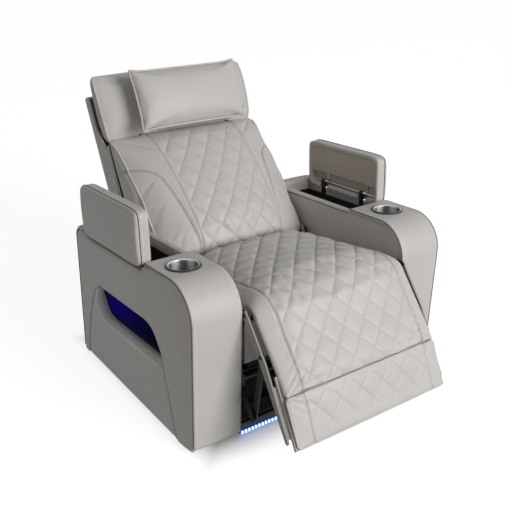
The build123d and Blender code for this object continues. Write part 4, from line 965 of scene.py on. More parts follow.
SEAT_LEATHER = GrainedLeather("grained_leather_seat", "#C3C0BC", "#D0CDC9")
ARM_LEATHER = GrainedLeather("grained_leather_arm", "#C1BEB9", "#CECBC6", roughness=0.5)
LID_LINING = GrainedLeather("grained_leather_lid_lining", "#B8AFA3", "#C5BCB0", roughness=0.6)
# welt leather painted dark: the piping is the seat's leather, darkened to stand for the shade in its grooves
WELT_SHADE_LEATHER = GrainedLeather("welt_leather_painted_dark_as_shade", "#5E5851", "#746E66", roughness=0.6)
# legrest board in leather darker than the seat's, painted as the shaded side of the pad
LEG_BOARD_SHADE_LEATHER = GrainedLeather("legrest_board_leather_painted_shade", "#ADA8A2", "#BAB5AF", roughness=0.55)
# back frame in a dark leather colour, painted to pass as the back's leather side in shade
BACK_FRAME_SHADE_LEATHER = GrainedLeather("back_frame_leather_painted_shade", "#625D57", "#736D66", roughness=0.6)
ARM_BOARD = WrappedBoard("leather_wrapped_arm_board", "#BBB7B2", "#C8C4BF", roughness=0.55)
SEAM_THREAD = TwistedThread("twisted_polyester_thread", "#E2DED8", "#F6F4F0")
CUP_STEEL = PaintedReflectionCup("stainless_cup_painted_reflections", "#6E6E71", "#F2F2F4")
HINGE_STEEL = BrushedSteel("drawn_stainless_rod", "#B4B5B8", "#D4D5D8", roughness=0.18)
HINGE_BLACK = CoatedMetal("black_powder_coated_hinge", "#101012", "#1E1E21", roughness=0.35)
FRAME_STEEL = CoatedMetal("black_powder_coated_tube", "#0E0E10", "#1B1B1E", roughness=0.5)
LINK_STEEL = CoatedMetal("black_oxide_link", "#0C0C0E", "#1A1A1D", metallic=0.6, roughness=0.42)
COVERED_STEEL = CoatedMetal("warm_grey_powder_coated_link", "#8A8680", "#A09C96", roughness=0.6)
DRIVE_STEEL = CoatedMetal("zinc_plated_carriage", "#7D7F83", "#A3A5A9", metallic=1.0, roughness=0.38)
SPRING_STEEL = CoatedMetal("oil_tempered_spring_wire", "#45474B", "#6A6C70", metallic=1.0, roughness=0.42)
BIN_PLASTIC = MouldedPlastic("black_moulded_tray", "#0C0C0D", "#17171A", roughness=0.55)
DRIVE_PLASTIC = MouldedPlastic("black_moulded_drive", "#101013", "#1D1D21", roughness=0.48)
GLIDE_PLASTIC = MouldedPlastic("black_polypropylene_glide", "#0D0D0E", "#19191B", roughness=0.6)
CONTROL_PLASTIC = MouldedPlastic("black_abs_control_panel", "#0B0B0D", "#151518", roughness=0.3)
BUTTON_METAL = BrushedSteel("brushed_aluminium_button", "#A9ABAF", "#CBCDD1", line=0.8)
PLYWOOD = RotaryPlywood("rotary_cut_birch_plywood", "#A88A62", "#C9AE84")
LINER_PAINTED_LIGHT = PaintedLightLiner("black_liner_painted_blue_light", "#010106", "#140A7C")
BLUE_STRIP = LightStrip("blue_led_strip", "#1018D0", "#4A66FF", strength=2.5, axis=1)
WHITE_STRIP = LightStrip("white_blue_led_strip", "#2038FF", "#B4E2FF", strength=3.0)

NODE_FINISHES = {
    "arm_frame": ARM_BOARD, "storage_bin": BIN_PLASTIC, "cup_holder": CUP_STEEL, "pocket_liner": LINER_PAINTED_LIGHT,
    "pocket_lights": BLUE_STRIP, "lid_board": LID_LINING, "lid_hinge_leaves": HINGE_BLACK,
    "lid_hinge": HINGE_STEEL, "floor_glides": GLIDE_PLASTIC, "toe_rail": FRAME_STEEL,
    "toe_light": WHITE_STRIP, "cross_tubes": FRAME_STEEL, "base_rails": FRAME_STEEL,
    "mechanism_plates": FRAME_STEEL, "seat_frame": PLYWOOD, "seat_springs": SPRING_STEEL,
    "legrest_board": LEG_BOARD_SHADE_LEATHER, "legrest_arms": COVERED_STEEL, "swing_arms": LINK_STEEL,
    "coupler_links": LINK_STEEL, "back_brackets": COVERED_STEEL, "back_frame": BACK_FRAME_SHADE_LEATHER,
    "back_shell": ARM_LEATHER,
    "headrest_hinge": FRAME_STEEL, "footrest_actuator": DRIVE_PLASTIC, "recline_actuator": DRIVE_PLASTIC,
    "footrest_carriage": DRIVE_STEEL, "recline_carriage": DRIVE_STEEL, "power_supply": DRIVE_PLASTIC,
    "control_panel": CONTROL_PLASTIC, "button": BUTTON_METAL,
}


# ---------------------------------------------------------------- placing


def dress(piece: Piece, body: str, stands_for: Sequence[str] = ()) -> Piece:
    """Fasten a piece to a body and what it stands for, and report it.

    Args:
        piece: The new piece.
        body: CAD body that it rides on.
        stands_for: CAD nodes that it replaces.

    Returns:
        The piece.
    """
    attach(piece, body)
    if stands_for:
        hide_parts(*stands_for)
    LOG.info("%s on %s: %d faces", piece.name, body, len(piece.data.polygons))
    return piece


def sew_rows(name: str, rows: Sequence[tuple[np.ndarray, np.ndarray]], length: float = 6.0, gap: float = 3.2,
             radius: float = 1.1) -> Piece:
    """One object of stitch rows.

    Args:
        name: Object name.
        rows: Lines and the surface directions along them.
        length: Length of one stitch.
        gap: Gap between stitches.
        radius: Thread radius.

    Returns:
        The new object.
    """
    made = [stitch_points(path, normal, length, gap, radius) for path, normal in rows]
    starts = np.cumsum([0] + [len(points) for points, _ in made])
    faces = np.vstack([quads + start for (_, quads), start in zip(made, starts)])
    return mesh_piece(name, np.vstack([points for points, _ in made]), faces, SEAM_THREAD)


# ---------------------------------------------------------------- seat and legrest


@dataclass
class Chaise:
    """Seat and upper legrest under one quilted cover that runs over the knee."""

    half: float = 284.0
    border: float = 57.0
    cell: tuple[float, float] = (39.0, 45.0)
    knee: tuple[float, float] = (-362.0, 400.0)
    tilt: float = 38.75
    seam: float = 243.0
    end: float = 384.0
    filling: Filling = Filling(cap=5.5)
    foot_filling: Filling = Filling(voxel=5.0, cap=4.0)
    lattice: float = 68.0
    seat_full: float = 7.5
    leg_full: float = 4.0
    seam_width: float = 3.5

    def leg_point(self, down: np.ndarray, forward: np.ndarray) -> np.ndarray:
        """Side-view place of points down the legrest and forward of its plane.

        Args:
            down: Distances down from the knee.
            forward: Distances forward.

        Returns:
            Places, Y and Z.
        """
        s, c = math.sin(math.radians(self.tilt)), math.cos(math.radians(self.tilt))
        down, forward = np.asarray(down, float), np.asarray(forward, float)
        y, z = self.knee
        return np.stack([y - s * down - c * forward, z - c * down + s * forward], axis=-1)

    def top_line(self, count: int) -> np.ndarray:
        """Side-view line of the cover's edges, from under the back, over the knee, down to the seam.

        Args:
            count: Number of points wanted.

        Returns:
            Places, Y and Z.
        """
        leg = self.leg_point([44.0, 81.0, 125.0, 168.0, 210.0, 244.0], [26.0, 27.0, 29.0, 30.0, 30.0, 28.0])
        seat = [(52.0, 352.0), (-60.0, 371.0), (-180.0, 392.0), (-280.0, 410.0), (-330.0, 418.5),
                (-362.0, 420.0), (-384.0, 410.0)]
        return smooth_line([*seat, *leg.tolist()], count)

    def build_cover(self) -> Piece:
        """Closed pad along the top line, swollen, then sewn in diamonds between two border seams.

        Returns:
            The sewn cover.
        """
        line = self.top_line(110)
        normal = beside(line)
        ahead = -line[:, 0]
        narrow = ease(ahead, 270.0, 365.0)
        thick = 73.0 * (1 - narrow) + 24.0 * narrow
        crown = np.interp(ahead, [-52.0, -20.0, 150.0, 290.0, 362.0, 410.0, 455.0, 540.0],
                          [52.0, 60.0, 54.0, 50.0, 40.0, 27.0, 19.0, 14.0])
        half = np.full(len(line), self.half - 6.0)
        wide, tall = slab_section(half, -thick, np.zeros(len(line)), crown, power=3.0)
        side = line[:, None] + normal[:, None] * tall[..., None]
        cover = patch_piece("quilted_chaise_cover", [closed_loft(in_space(wide, side))], SEAT_LEATHER)
        self.filling.swell(cover, lambda p, n: self.underside(p, n, line, normal))
        self.quilt(cover, line + normal * 0.8 * crown[:, None])
        return cover

    def underside(self, points: np.ndarray, normals: np.ndarray, line: np.ndarray,
                  normal: np.ndarray) -> np.ndarray:
        """Vertices that rest on the frame: those that face away from the cover's top."""
        found = nearest(points[:, 1:], line)
        return (normals[:, 1:] * normal[found]).sum(1) < -0.5

    def quilt(self, cover: Piece, ridge: np.ndarray) -> None:
        """Diamonds between the border seams, fuller on the seat than on the legrest.

        Args:
            cover: The swollen cover.
            ridge: Side-view line of the cover's middle, along which the lattice is measured.
        """
        points, normals = mesh_arrays(cover)
        fine = even(ridge, 420)
        lengths = np.linspace(0.0, running(ridge)[-1], 420)
        found = nearest(points[:, 1:], fine)
        along = lengths[found]
        facing = ease((normals[:, 1:] * beside(fine)[found]).sum(1), 0.15, 0.6)
        inside = self.half - self.border - np.abs(points[:, 0])
        origin = lengths[nearest(self.leg_point([self.lattice], [40.0]), fine)[0]]
        share = diamond_distance(points[:, 0], along - origin, self.cell)
        full = self.seat_full - (self.seat_full - self.leg_full) * ease(along, 360.0, 520.0)
        field = ease(inside, -1.0, 18.0)
        seam = groove(inside, self.seam_width)
        border = 3.0 * puff(-inside / 30.0) * (inside < 0)
        lift = facing * (full * (puff(share) - 1.0) * field - 3.5 * seam + border + full * 0.5)
        # painted shade along the quilting lines and in the border seams
        crease = 0.3 * groove(share, QUILT_LINE) * field + 0.5 * seam
        sew(cover, lift, normals, facing * np.clip(crease, 0, 1))

    def edge_rows(self, cover: Piece) -> list[tuple[np.ndarray, np.ndarray]]:
        """Topstitch rows just outside the two border seams.

        Args:
            cover: What they are sewn to.

        Returns:
            Lines and the surface directions along them.
        """
        line = even(self.top_line(200), 160)[14:]
        raised = line + beside(line) * 14.0
        out = self.half - self.border + 9.0
        return [settle(across(side.value * out, raised), cover, STITCH_PROUD) for side in Side]

    def build_foot(self) -> Piece:
        """Lower legrest panel: a quilted wedge on its board, thin at the toe.

        Returns:
            The sewn panel.
        """
        down = np.linspace(self.seam - 1.0, self.end - 1.0, 34)
        share = (down - down[0]) / (down[-1] - down[0])
        low = 9.0 - 31.0 * (down - 181.0) / 203.0 + 7.5
        edge = 29.0 * (1 - share) - 9.0 * share
        crown = edge + 14.0 * (1 - share) + 5.0 * share
        half = np.full(len(down), self.half - 5.0)
        wide, tall = slab_section(half, low, np.maximum(edge, low + 6.0), np.maximum(crown, low + 8.0))
        side = self.leg_point(down[:, None] + 0 * tall, tall)
        foot = patch_piece("quilted_foot_panel", [closed_loft(in_space(wide, side))], SEAT_LEATHER)
        s, c = math.sin(math.radians(self.tilt)), math.cos(math.radians(self.tilt))
        front = np.array([0.0, -c, s])
        self.foot_filling.swell(foot, lambda p, n: n @ front < RESTS)
        points, normals = mesh_arrays(foot)
        along = -(points[:, 1] - self.knee[0]) * s - (points[:, 2] - self.knee[1]) * c
        inside = self.half - self.border - np.abs(points[:, 0])
        facing = ease(normals @ front, 0.2, 0.6)
        share = diamond_distance(points[:, 0], along - self.lattice, self.cell)
        field = ease(inside, -1.0, 16.0) * ease(along, self.seam + 6.0, self.seam + 26.0)
        field = field * ease(self.end - along, 18.0, 44.0)
        seam = groove(inside, self.seam_width)
        lift = facing * (self.leg_full * (puff(share) - 1.0) * field - 3.0 * seam + 1.5)
        # painted shade along the quilting lines and in the border seams
        crease = 0.3 * groove(share, QUILT_LINE) * field + 0.3 * seam
        sew(foot, lift, normals, facing * np.clip(crease, 0, 1))
        return foot

    def build_welts(self, foot: Piece) -> Piece:
        """Welt round the foot panel's sides and toe.

        Args:
            foot: The panel.

        Returns:
            The welt.
        """
        x, start, toe, corner = self.half - 3.0, self.seam + 6.0, self.end - 3.0, 18.0
        path = rounded_line([(-x, start), (-x, toe), (x, toe), (x, start)], [corner, corner], 260)
        share = (path[:, 1] - self.seam) / (self.end - self.seam)
        side = self.leg_point(path[:, 1], 20.0 * (1 - share) - 11.0 * share)
        laid, normal = settle(np.column_stack([path[:, 0], side]), foot, 0.6)
        return patch_piece("foot_panel_welt", [cord_patch(laid, 3.0, normal)], SEAT_LEATHER)

    def build(self) -> None:
        """Make the cover, the foot panel, their welts and stitches."""
        cover = self.build_cover()
        for piece in (cover, sew_rows("chaise_border_stitches", self.edge_rows(cover))):
            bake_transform(piece)
            LOG.info("%s over the knee: %d faces", piece.name, len(piece.data.polygons))
        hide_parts("seat_cushion", "legrest_pad")
        foot = dress(self.build_foot(), "legrest", ["foot_panel"])
        dress(self.build_welts(foot), "legrest")
        self.build_fascia()

    def build_fascia(self) -> None:
        """Leather apron across the front of the seat, under the knee."""
        low, high = (np.array(corner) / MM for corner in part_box("seat_front_panel"))
        x = np.linspace(low[0], high[0], 120)[None]
        z = (low[2] + (high[2] - low[2]) * dense_ends(48))[:, None]
        inset = np.minimum(np.minimum(x - low[0], high[0] - x), np.minimum(z - low[2], high[2] - z))
        sag = 0.8 * np.sin(x / 37.0 + 0.4 * np.sin(z / 21.0)) * ease(inset, 4.0, 40.0)
        points = np.stack(np.broadcast_arrays(x, low[1] + roll(inset, 7.0) + sag, z), axis=-1)
        apron = patch_piece("seat_front_apron", [Patch(points)], SEAT_LEATHER, outward=(0, -1, 0))
        thick = apron.modifiers.new("Backing", "SOLIDIFY")
        thick.thickness = 3.0 * MM
        thick.offset = -1.0
        apply_modifiers(apron)
        dress(apron, "base", ["seat_front_panel"])


# ---------------------------------------------------------------- back and headrest


@dataclass
class Back:
    """Back cushion with its quilted panel, bolsters and shoulder seams, the headrest and its pillow."""

    pivot: tuple[float, float] = (115.0, 345.0)
    lean: float = 26.5
    half: float = 293.0
    rear: float = -150.0
    stations: tuple[tuple[float, float, float], ...] = (
        (-14, -14, 16), (8, 6, 70), (40, 20, 106), (120, 2, 93), (220, -15, 55), (320, -58, 8),
        (400, -95, -35), (424, -112, -58), (440, -130, -86), (448, -146, -116))
    panel_low: float = 150.0
    panel_high: float = 165.0
    cell: tuple[float, float] = (38.0, 45.0)
    seam: tuple[tuple[float, float], ...] = (
        (290, 331), (264, 327), (234, 316), (212, 298), (199, 272), (188, 220), (174, 140), (162, 60),
        (158, 10))
    head_low: float = 450.0
    head_stations: tuple[tuple[float, float, float, float, float], ...] = (
        (-14, -12, -164, -150, -132), (0, -2, -168, -142, -116), (30, 6, -172, -132, -93),
        (110, 10, -166, -126, -80), (190, 8, -160, -132, -95), (214, 0, -158, -142, -124))
    head_half: float = 292.0
    pillow_half: float = 208.0
    pillow_mid: float = 542.0
    pillow_tall: float = 102.0
    pillow_depth: float = -40.0
    full: float = 5.5
    filling: Filling = Filling(cap=11.0)
    head_filling: Filling = Filling(cap=8.0)
    pillow_filling: Filling = Filling(voxel=5.0, cap=8.0, pressure=3.0)

    @property
    def up(self) -> np.ndarray:
        """Direction up the back."""
        return np.array([0.0, math.sin(math.radians(self.lean)), math.cos(math.radians(self.lean))])

    @property
    def front(self) -> np.ndarray:
        """Direction that the back faces."""
        return np.array([0.0, -math.cos(math.radians(self.lean)), math.sin(math.radians(self.lean))])

    def place(self, x: np.ndarray, up: np.ndarray, forward: np.ndarray) -> np.ndarray:
        """Points from widths, heights up the back and distances forward of its hinge.

        Args:
            x: Widths.
            up: Heights up the back.
            forward: Distances forward.

        Returns:
            Points of the CAD frame.
        """
        x, up, forward = np.broadcast_arrays(x, up, forward)
        return (np.array([0.0, *self.pivot]) + x[..., None] * [1.0, 0.0, 0.0] + up[..., None] * self.up
                + forward[..., None] * self.front)

    def local(self, points: np.ndarray) -> tuple[np.ndarray, np.ndarray, np.ndarray]:
        """Width, height up the back and distance forward of points."""
        offset = points - [0.0, *self.pivot]
        return points[:, 0], offset @ self.up, offset @ self.front

    def panel_half(self, up: np.ndarray) -> np.ndarray:
        """Half width of the quilted panel at a height."""
        return self.panel_low + (self.panel_high - self.panel_low) * (up - 40.0) / 382.0

    def pad(self, name: str, up: np.ndarray, section: tuple[np.ndarray, np.ndarray],
            filling: Filling) -> tuple[Piece, np.ndarray, np.ndarray]:
        """Cushion of sections up the back, swollen where it doesn't rest on the frame.

        Args:
            name: Object name.
            up: Height up the back of each section.
            section: Widths and heights off the back's plane, sections by points.
            filling: How it is filled.

        Returns:
            The cushion, its normals and how far each vertex faces forward, from 0 to 1.
        """
        wide, tall = section
        piece = patch_piece(name, [closed_loft(self.place(wide, up[:, None], tall))], SEAT_LEATHER)
        filling.swell(piece, lambda p, n: n @ self.front < RESTS)
        normals = mesh_arrays(piece)[1]
        return piece, normals, ease(normals @ self.front, 0.1, 0.5)

    def rise(self, x: np.ndarray, edge: np.ndarray, crown: np.ndarray) -> np.ndarray:
        """Distance forward of the crowned face at a width: edge + (crown - edge)(1 - (x / half)^2)."""
        return edge + (crown - edge) * (1 - (x / self.half) ** 2)

    def build_cushion(self) -> Piece:
        """Crowned cushion through the stations, swollen, then sewn.

        Returns:
            The sewn cushion.
        """
        up, edge, crown = smooth_line(self.stations, 70).T
        half = np.interp(up, [-12.0, 20.0, 45.0], [276.0, 284.0, self.half - 6.0])
        low = np.interp(up, [-12.0, 30.0, 60.0], [-45.0, -100.0, self.rear + 1.0])
        section = slab_section(half, low, edge - 6.0, crown - 8.0)
        cushion, normals, facing = self.pad("back_cushion_cover", up, section, self.filling)
        x, up, _ = self.local(mesh_arrays(cushion)[0])
        inside = self.panel_half(up) - np.abs(x)
        share = diamond_distance(x, up, self.cell)
        field = ease(inside, -1.0, 16.0) * ease(-up, -434.0, -404.0)
        edge_groove = groove(inside, 3.0)
        seam = smooth_line(self.seam, 60)
        from_seam = line_distance(np.column_stack([np.abs(x), up]), seam)
        seam_x = np.interp(up, seam[::-1, 1], seam[::-1, 0])
        bolster = ((np.abs(x) > seam_x) & (up < seam[0, 1])) * puff(from_seam / 60.0)
        seam_groove = groove(from_seam, 3.2) * (np.abs(x) > 120.0)
        lift = facing * (self.full * (puff(share) - 1.0) * field - 3.0 * edge_groove - 4.0 * seam_groove
                         + 6.0 * bolster + 3.0)
        # painted shade along the quilting lines, the panel's edge and the shoulder seams
        crease = 0.35 * groove(share, QUILT_LINE) * field + 0.3 * edge_groove + 0.45 * seam_groove
        sew(cushion, lift, normals, facing * np.clip(crease, 0, 1))
        return cushion

    def back_rows(self, cushion: Piece) -> list[tuple[np.ndarray, np.ndarray]]:
        """Double topstitch beside the panel and one row above each shoulder seam.

        Args:
            cushion: What they are sewn to.

        Returns:
            Lines and the surface directions along them.
        """
        up, edge, crown = smooth_line(self.stations, 120)[6:-6].T
        rows = []
        for side in Side:
            for out in (8.0, 15.0):
                x = side.value * (self.panel_half(up) + out)
                rows.append(settle(self.place(x, up, self.rise(x, edge, crown)), cushion, STITCH_PROUD))
        seam = smooth_line(self.seam, 110)[4:-6]
        moved = seam + beside(seam) * 9.0
        heights, edges, crowns = np.transpose(self.stations)
        rise = self.rise(moved[:, 0], *(np.interp(seam[:, 1], heights, given) for given in (edges, crowns)))
        for side in Side:
            path = self.place(side.value * moved[:, 0], moved[:, 1], rise)
            rows.append(settle(path, cushion, STITCH_PROUD))
        return rows

    def build_headrest(self) -> Piece:
        """Crowned headrest through its stations, swollen, a little creased at its foot.

        Returns:
            The headrest.
        """
        rise, spread, rear, edge, crown = smooth_line(self.head_stations, 44).T
        section = slab_section(self.head_half + spread - 5.0, rear + 3.0, edge - 4.0, crown - 6.0)
        headrest, normals, facing = self.pad("headrest_cover", self.head_low + rise, section,
                                             self.head_filling)
        x, up, _ = self.local(mesh_arrays(headrest)[0])
        fold = np.sin(x / 19.0 + 2.0 * np.sin(up / 33.0)) * groove(up - self.head_low, 34.0)
        sew(headrest, facing * (1.2 * fold + 1.0), normals, np.zeros(len(x)))
        return headrest

    def pillow_outline(self, around: np.ndarray, across: np.ndarray) -> tuple[np.ndarray, np.ndarray]:
        """Places over and up the pillow: sides drawn in between rounded corners that stand out as ears.

        Args:
            around: Share over the pillow, from -1 to 1.
            across: Share up the pillow, from -1 to 1.

        Returns:
            Widths and heights up the back.
        """
        rounded = 1.0 - 0.05 * np.abs(around * across) ** 8
        x = around * (1.0 - 0.065 * (1 - across**4)) * rounded * (self.pillow_half + 3.0)
        up = self.pillow_mid + across * (1.0 - 0.13 * (1 - around**8)) * rounded * (self.pillow_tall + 7.0)
        return x, up

    def build_pillow(self) -> Piece:
        """Head pillow: two crowned faces that meet in a welted seam, its corners drawn out into ears.

        Returns:
            The pillow.
        """
        around, across = np.meshgrid(np.linspace(-1, 1, 90), np.linspace(-1, 1, 60), indexing="ij")
        x, up = self.pillow_outline(around, across)
        full = np.sqrt(1 - np.abs(around) ** 4) * np.sqrt(1 - np.abs(across) ** 2)
        face, rear = (self.place(x, up, self.pillow_depth + rise * full) for rise in (38.0, -36.0))
        pillow = patch_piece("head_pillow_cover", [Patch(face), Patch(rear[::-1])], SEAT_LEATHER)
        self.pillow_filling.swell(pillow, lambda p, n: n @ self.front < -0.8)
        points, normals = mesh_arrays(pillow)
        x, up, _ = self.local(points)
        a, b = np.abs(x) / self.pillow_half, np.abs(up - self.pillow_mid) / self.pillow_tall
        corner = ease(a, 0.6, 1.0) * ease(b, 0.2, 0.9)
        fold = np.sin((a * 11.0 - b * 8.0) + 1.7 * np.sin(b * 5.0)) * corner
        edge = ease(np.maximum(a, b), 0.72, 0.98) * np.sin(x / 9.0 + up / 14.0)
        sew(pillow, 2.2 * fold + 0.7 * edge, normals, np.zeros(len(points)))
        return pillow

    def pillow_seam(self, count: int) -> np.ndarray:
        """Line of the pillow's seam, drawn in between its corners.

        Args:
            count: Number of points wanted.

        Returns:
            Points of the closed seam.
        """
        turn = np.linspace(0.0, 4.0, count, endpoint=False)
        share, ones = 2.0 * (turn % 1.0) - 1.0, np.ones(count)
        side = turn.astype(int)
        x, up = self.pillow_outline(np.choose(side, [share, ones, -share, -ones]),
                                    np.choose(side, [-ones, share, ones, -share]))
        return self.place(x, up, np.full(count, self.pillow_depth))

    def build_pillow_welt(self) -> Piece:
        """Welt round the pillow's seam.

        Returns:
            The welt.
        """
        path = self.pillow_seam(320)
        path = averaged(np.vstack([path[-3:], path, path[:3]]), 7)
        normal = np.broadcast_to(self.front, path.shape)
        welt = cord_patch(path, SEAT_WELT, normal, closed=True)
        return patch_piece("head_pillow_welt", [welt], SEAT_LEATHER)

    def side_welts(self, name: str, body: str, cushion: Piece, line: tuple) -> None:
        """Welts down both sides of a cushion.

        Args:
            name: Object name.
            body: CAD body that they ride on.
            cushion: What they lie on.
            line: Width on the left side, heights up the back and distances forward.
        """
        x, up, forward = line
        laid = [settle(self.place(side.value * x, up, forward), cushion, WELT_PROUD) for side in Side]
        welts = [cord_patch(path, SEAT_WELT, normal) for path, normal in laid]
        dress(patch_piece(name, welts, SEAT_LEATHER), body)

    def build_edge_welts(self, cushion: Piece, headrest: Piece) -> None:
        """Welts down the sides of the back's face and of the headrest's face, and bands behind the back's.

        Args:
            cushion: The back's cushion.
            headrest: The headrest.
        """
        up, edge, _ = smooth_line(self.stations, 160)[4:-10].T
        self.side_welts("back_side_welts", "backrest", cushion, (self.half - 9.0, up, edge - 4.0))
        up, forward = np.meshgrid(np.linspace(30.0, 432.0, 60), np.linspace(-178.0, -140.0, 8), indexing="ij")
        bands = [Patch(self.place(side.value * (self.half - 4.0), up, forward)[::int(side.value)])
                 for side in Side]
        dress(patch_piece("back_side_bands", bands, SEAT_LEATHER), "backrest")
        rise, spread, _, edge, _ = smooth_line(self.head_stations, 90)[4:-4].T
        self.side_welts("headrest_side_welts", "headrest", headrest,
                        (self.head_half + spread - 8.0, self.head_low + rise, edge - 2.0))

    def build(self) -> None:
        """Make the cushion, headrest and pillow with their welts and stitches."""
        cushion = dress(self.build_cushion(), "backrest", ["back_cushion"])
        dress(sew_rows("back_topstitches", self.back_rows(cushion)), "backrest")
        headrest = dress(self.build_headrest(), "headrest", ["headrest_cushion"])
        dress(self.build_pillow(), "headrest", ["head_pillow"])
        dress(self.build_pillow_welt(), "headrest")
        self.build_edge_welts(cushion, headrest)


# ---------------------------------------------------------------- arms


@dataclass
class Arm:
    """One arm: padded side panels, strips over its front and rear, the pocket's lip and the bin's edge."""

    side: Side
    inner: float = 300.0
    outer: float = 468.0
    front: float = -360.0
    rear: float = 340.0
    height: float = 517.0
    slope: float = 4.0
    front_round: float = 105.0
    rear_round: float = 45.0
    cover: float = 12.0
    foot: float = 15.0
    bin_front: float = -105.0
    bin_rear: float = 265.0
    notch: float = 16.3
    cup: tuple[float, float] = CUP_AXIS
    cup_hole: float = 47.5
    seam_in: float = 10.0
    seam_back: float = 2.0
    side_roll: float = 80.0
    pocket_front: tuple[float, float] = (-208.0, 243.0)
    pocket_rear: tuple[float, float] = (178.0, 306.0)
    pocket_top: tuple[tuple[float, float], ...] = ((-112.0, 323.5), (150.0, 307.6))
    seam_feet: tuple[float, float] = (-282.0, 292.0)

    def top(self, y: np.ndarray) -> np.ndarray:
        """Height of the arm's top line."""
        return self.height - math.tan(math.radians(self.slope)) * (np.asarray(y, float) - self.front)

    def ledge(self, y: np.ndarray) -> np.ndarray:
        """Height of the bin's edge."""
        return self.top(y) - self.cover

    def handed(self, points: np.ndarray) -> np.ndarray:
        """Points of the left arm, mirrored for the right one."""
        return points * [self.side.value, 1.0, 1.0]

    def panel(self, name: str, points: np.ndarray, outward: Sequence[float], node: str | None = None,
              fill: float | None = None, keep: Callable[[np.ndarray], np.ndarray] | None = None) -> None:
        """Make and dress a leather piece of the arm.

        Args:
            name: Object name, without its side.
            points: Grid of points on the left arm.
            outward: Way that it faces.
            node: CAD node that it stands for, without its side.
            fill: Not used.
            keep: Says for vertices which may stay.
        """
        suffix, patches = self.side.suffix, [Patch(self.handed(points))]
        piece = patch_piece(f"{name}_{suffix}", patches, ARM_LEATHER, outward, keep)
        dress(piece, "base", [f"{node}_{suffix}"] if node else ())

    def welt(self, line: np.ndarray, radius: float, normal: np.ndarray) -> Patch:
        """Welt along a line of the left arm."""
        return Patch(self.handed(cord_patch(line, radius, normal).points), wrap_columns=True)

    def round_corner(self, inset: float, at_rear: bool, count: int) -> np.ndarray:
        """Arc between the upright and the sloping top at the front or the rear, drawn in by inset.

        Args:
            inset: Distance in from the outline.
            at_rear: The rear corner, not the front.
            count: Number of points wanted.

        Returns:
            Places, Y and Z.
        """
        radius = (self.rear_round if at_rear else self.front_round) - inset
        a = math.radians(self.slope)
        y = self.rear - self.rear_round if at_rear else self.front + self.front_round
        z = float(self.top(y)) - (radius + inset) / math.cos(a)
        top = math.pi / 2 - a
        turn = np.linspace(top, 0.0, count) if at_rear else np.linspace(math.pi, top, count)
        return np.stack([y + radius * np.cos(turn), z + radius * np.sin(turn)], axis=1)

    def strip(self, name: str, path: np.ndarray, edge: float, crown: float, node: str,
              trim: float = 0.0) -> None:
        """Leather strip across the arm: a flat section with rolled edges carried along a side-view path.

        Args:
            name: Object name.
            path: Side-view line that the strip follows.
            edge: Radius of the rolled edges.
            crown: Rise of the padding in the middle.
            node: CAD node that it stands for, without its side.
            trim: How far its outer edge stops short of the arm's side.
        """
        outer = self.outer - trim
        share = np.linspace(0.0, 1.0, 56)
        x = self.inner + (outer - self.inner) * (share - 0.1 * np.sin(2 * math.pi * share))
        inset = np.minimum(x - self.inner, outer - x)
        rise = crown * puff(inset / 70.0) - crown - roll(inset, edge)
        x = np.concatenate([[x[0]], x, [x[-1]]])
        rise = np.concatenate([[-self.cover], rise, [-self.cover]])
        side = path[:, None] - beside(path)[:, None] * rise[None, :, None]
        facing = (0, -1, 1) if path[0, 0] < 0 else (0, 1, 1)
        points = in_space(np.broadcast_to(x, side.shape[:2]), side)
        self.panel(name, points, facing, node, 0.5, self.clear_of_cup)

    def clear_of_cup(self, points: np.ndarray) -> np.ndarray:
        """Vertices outside the cup's hole, or well below it."""
        off = np.hypot(np.abs(points[:, 0]) - self.cup[0], points[:, 1] - self.cup[1])
        return (off > self.cup_hole) | (points[:, 2] < 400)

    def front_path(self) -> np.ndarray:
        """Side-view line up the front, round the corner, back over the cup and down at the bin.

        Returns:
            Places, Y and Z.
        """
        end = self.bin_front
        arc = self.round_corner(0.0, False, 40)
        lip = rounded_line([arc[-1], (end, float(self.top(end))), (end, float(self.ledge(end)) - 2.0)],
                           [9.0], 60)
        foot = [(self.front + inset, self.foot + rise) for inset, rise in FOOT_TURN]
        return even(np.vstack([foot, arc, lip]), 210)

    def rear_path(self) -> np.ndarray:
        """Side-view line up behind the bin, over the rear block and down the rear.

        Returns:
            Places, Y and Z.
        """
        start = self.bin_rear
        arc = self.round_corner(0.0, True, 24)
        lip = rounded_line([(start, float(self.ledge(start)) - 2.0), (start, float(self.top(start))), arc[0]],
                           [10.0], 20)
        foot = [(self.rear - inset, self.foot + rise) for inset, rise in FOOT_TURN[::-1]]
        return even(np.vstack([lip, arc, foot]), 150)

    def build_inner_panel(self) -> None:
        """Padded panel on the seat side: flat, its rim rolled by its distance from the arm's outline."""
        front, rear = self.front + self.cover, self.rear - self.cover
        y = front + (rear - front) * dense_ends(150)
        arc_front = self.round_corner(self.cover, False, 60)
        arc_rear = self.round_corner(self.cover, True, 40)
        high = np.where(y < arc_front[-1, 0], np.interp(y, arc_front[:, 0], arc_front[:, 1]), self.ledge(y))
        high = np.where(y > arc_rear[0, 0], np.interp(y, arc_rear[:, 0], arc_rear[:, 1]), high)
        share = dense_ends(90)
        z = self.foot + (high[:, None] - self.foot) * share[None]
        outline = np.vstack([[(front, self.foot)], arc_front, arc_rear, [(rear, self.foot)]])
        flat = np.column_stack([np.repeat(y, len(share)), z.ravel()])
        inset = line_distance(flat, outline).reshape(z.shape)
        x = self.inner + roll(inset, 9.0) + 1.0 - puff(inset / 90.0)
        points = np.stack([x, np.broadcast_to(y[:, None], z.shape), z], axis=-1)
        self.panel("arm_inner_panel", points, self.side.inward, "arm_inner_cover", 0.5)

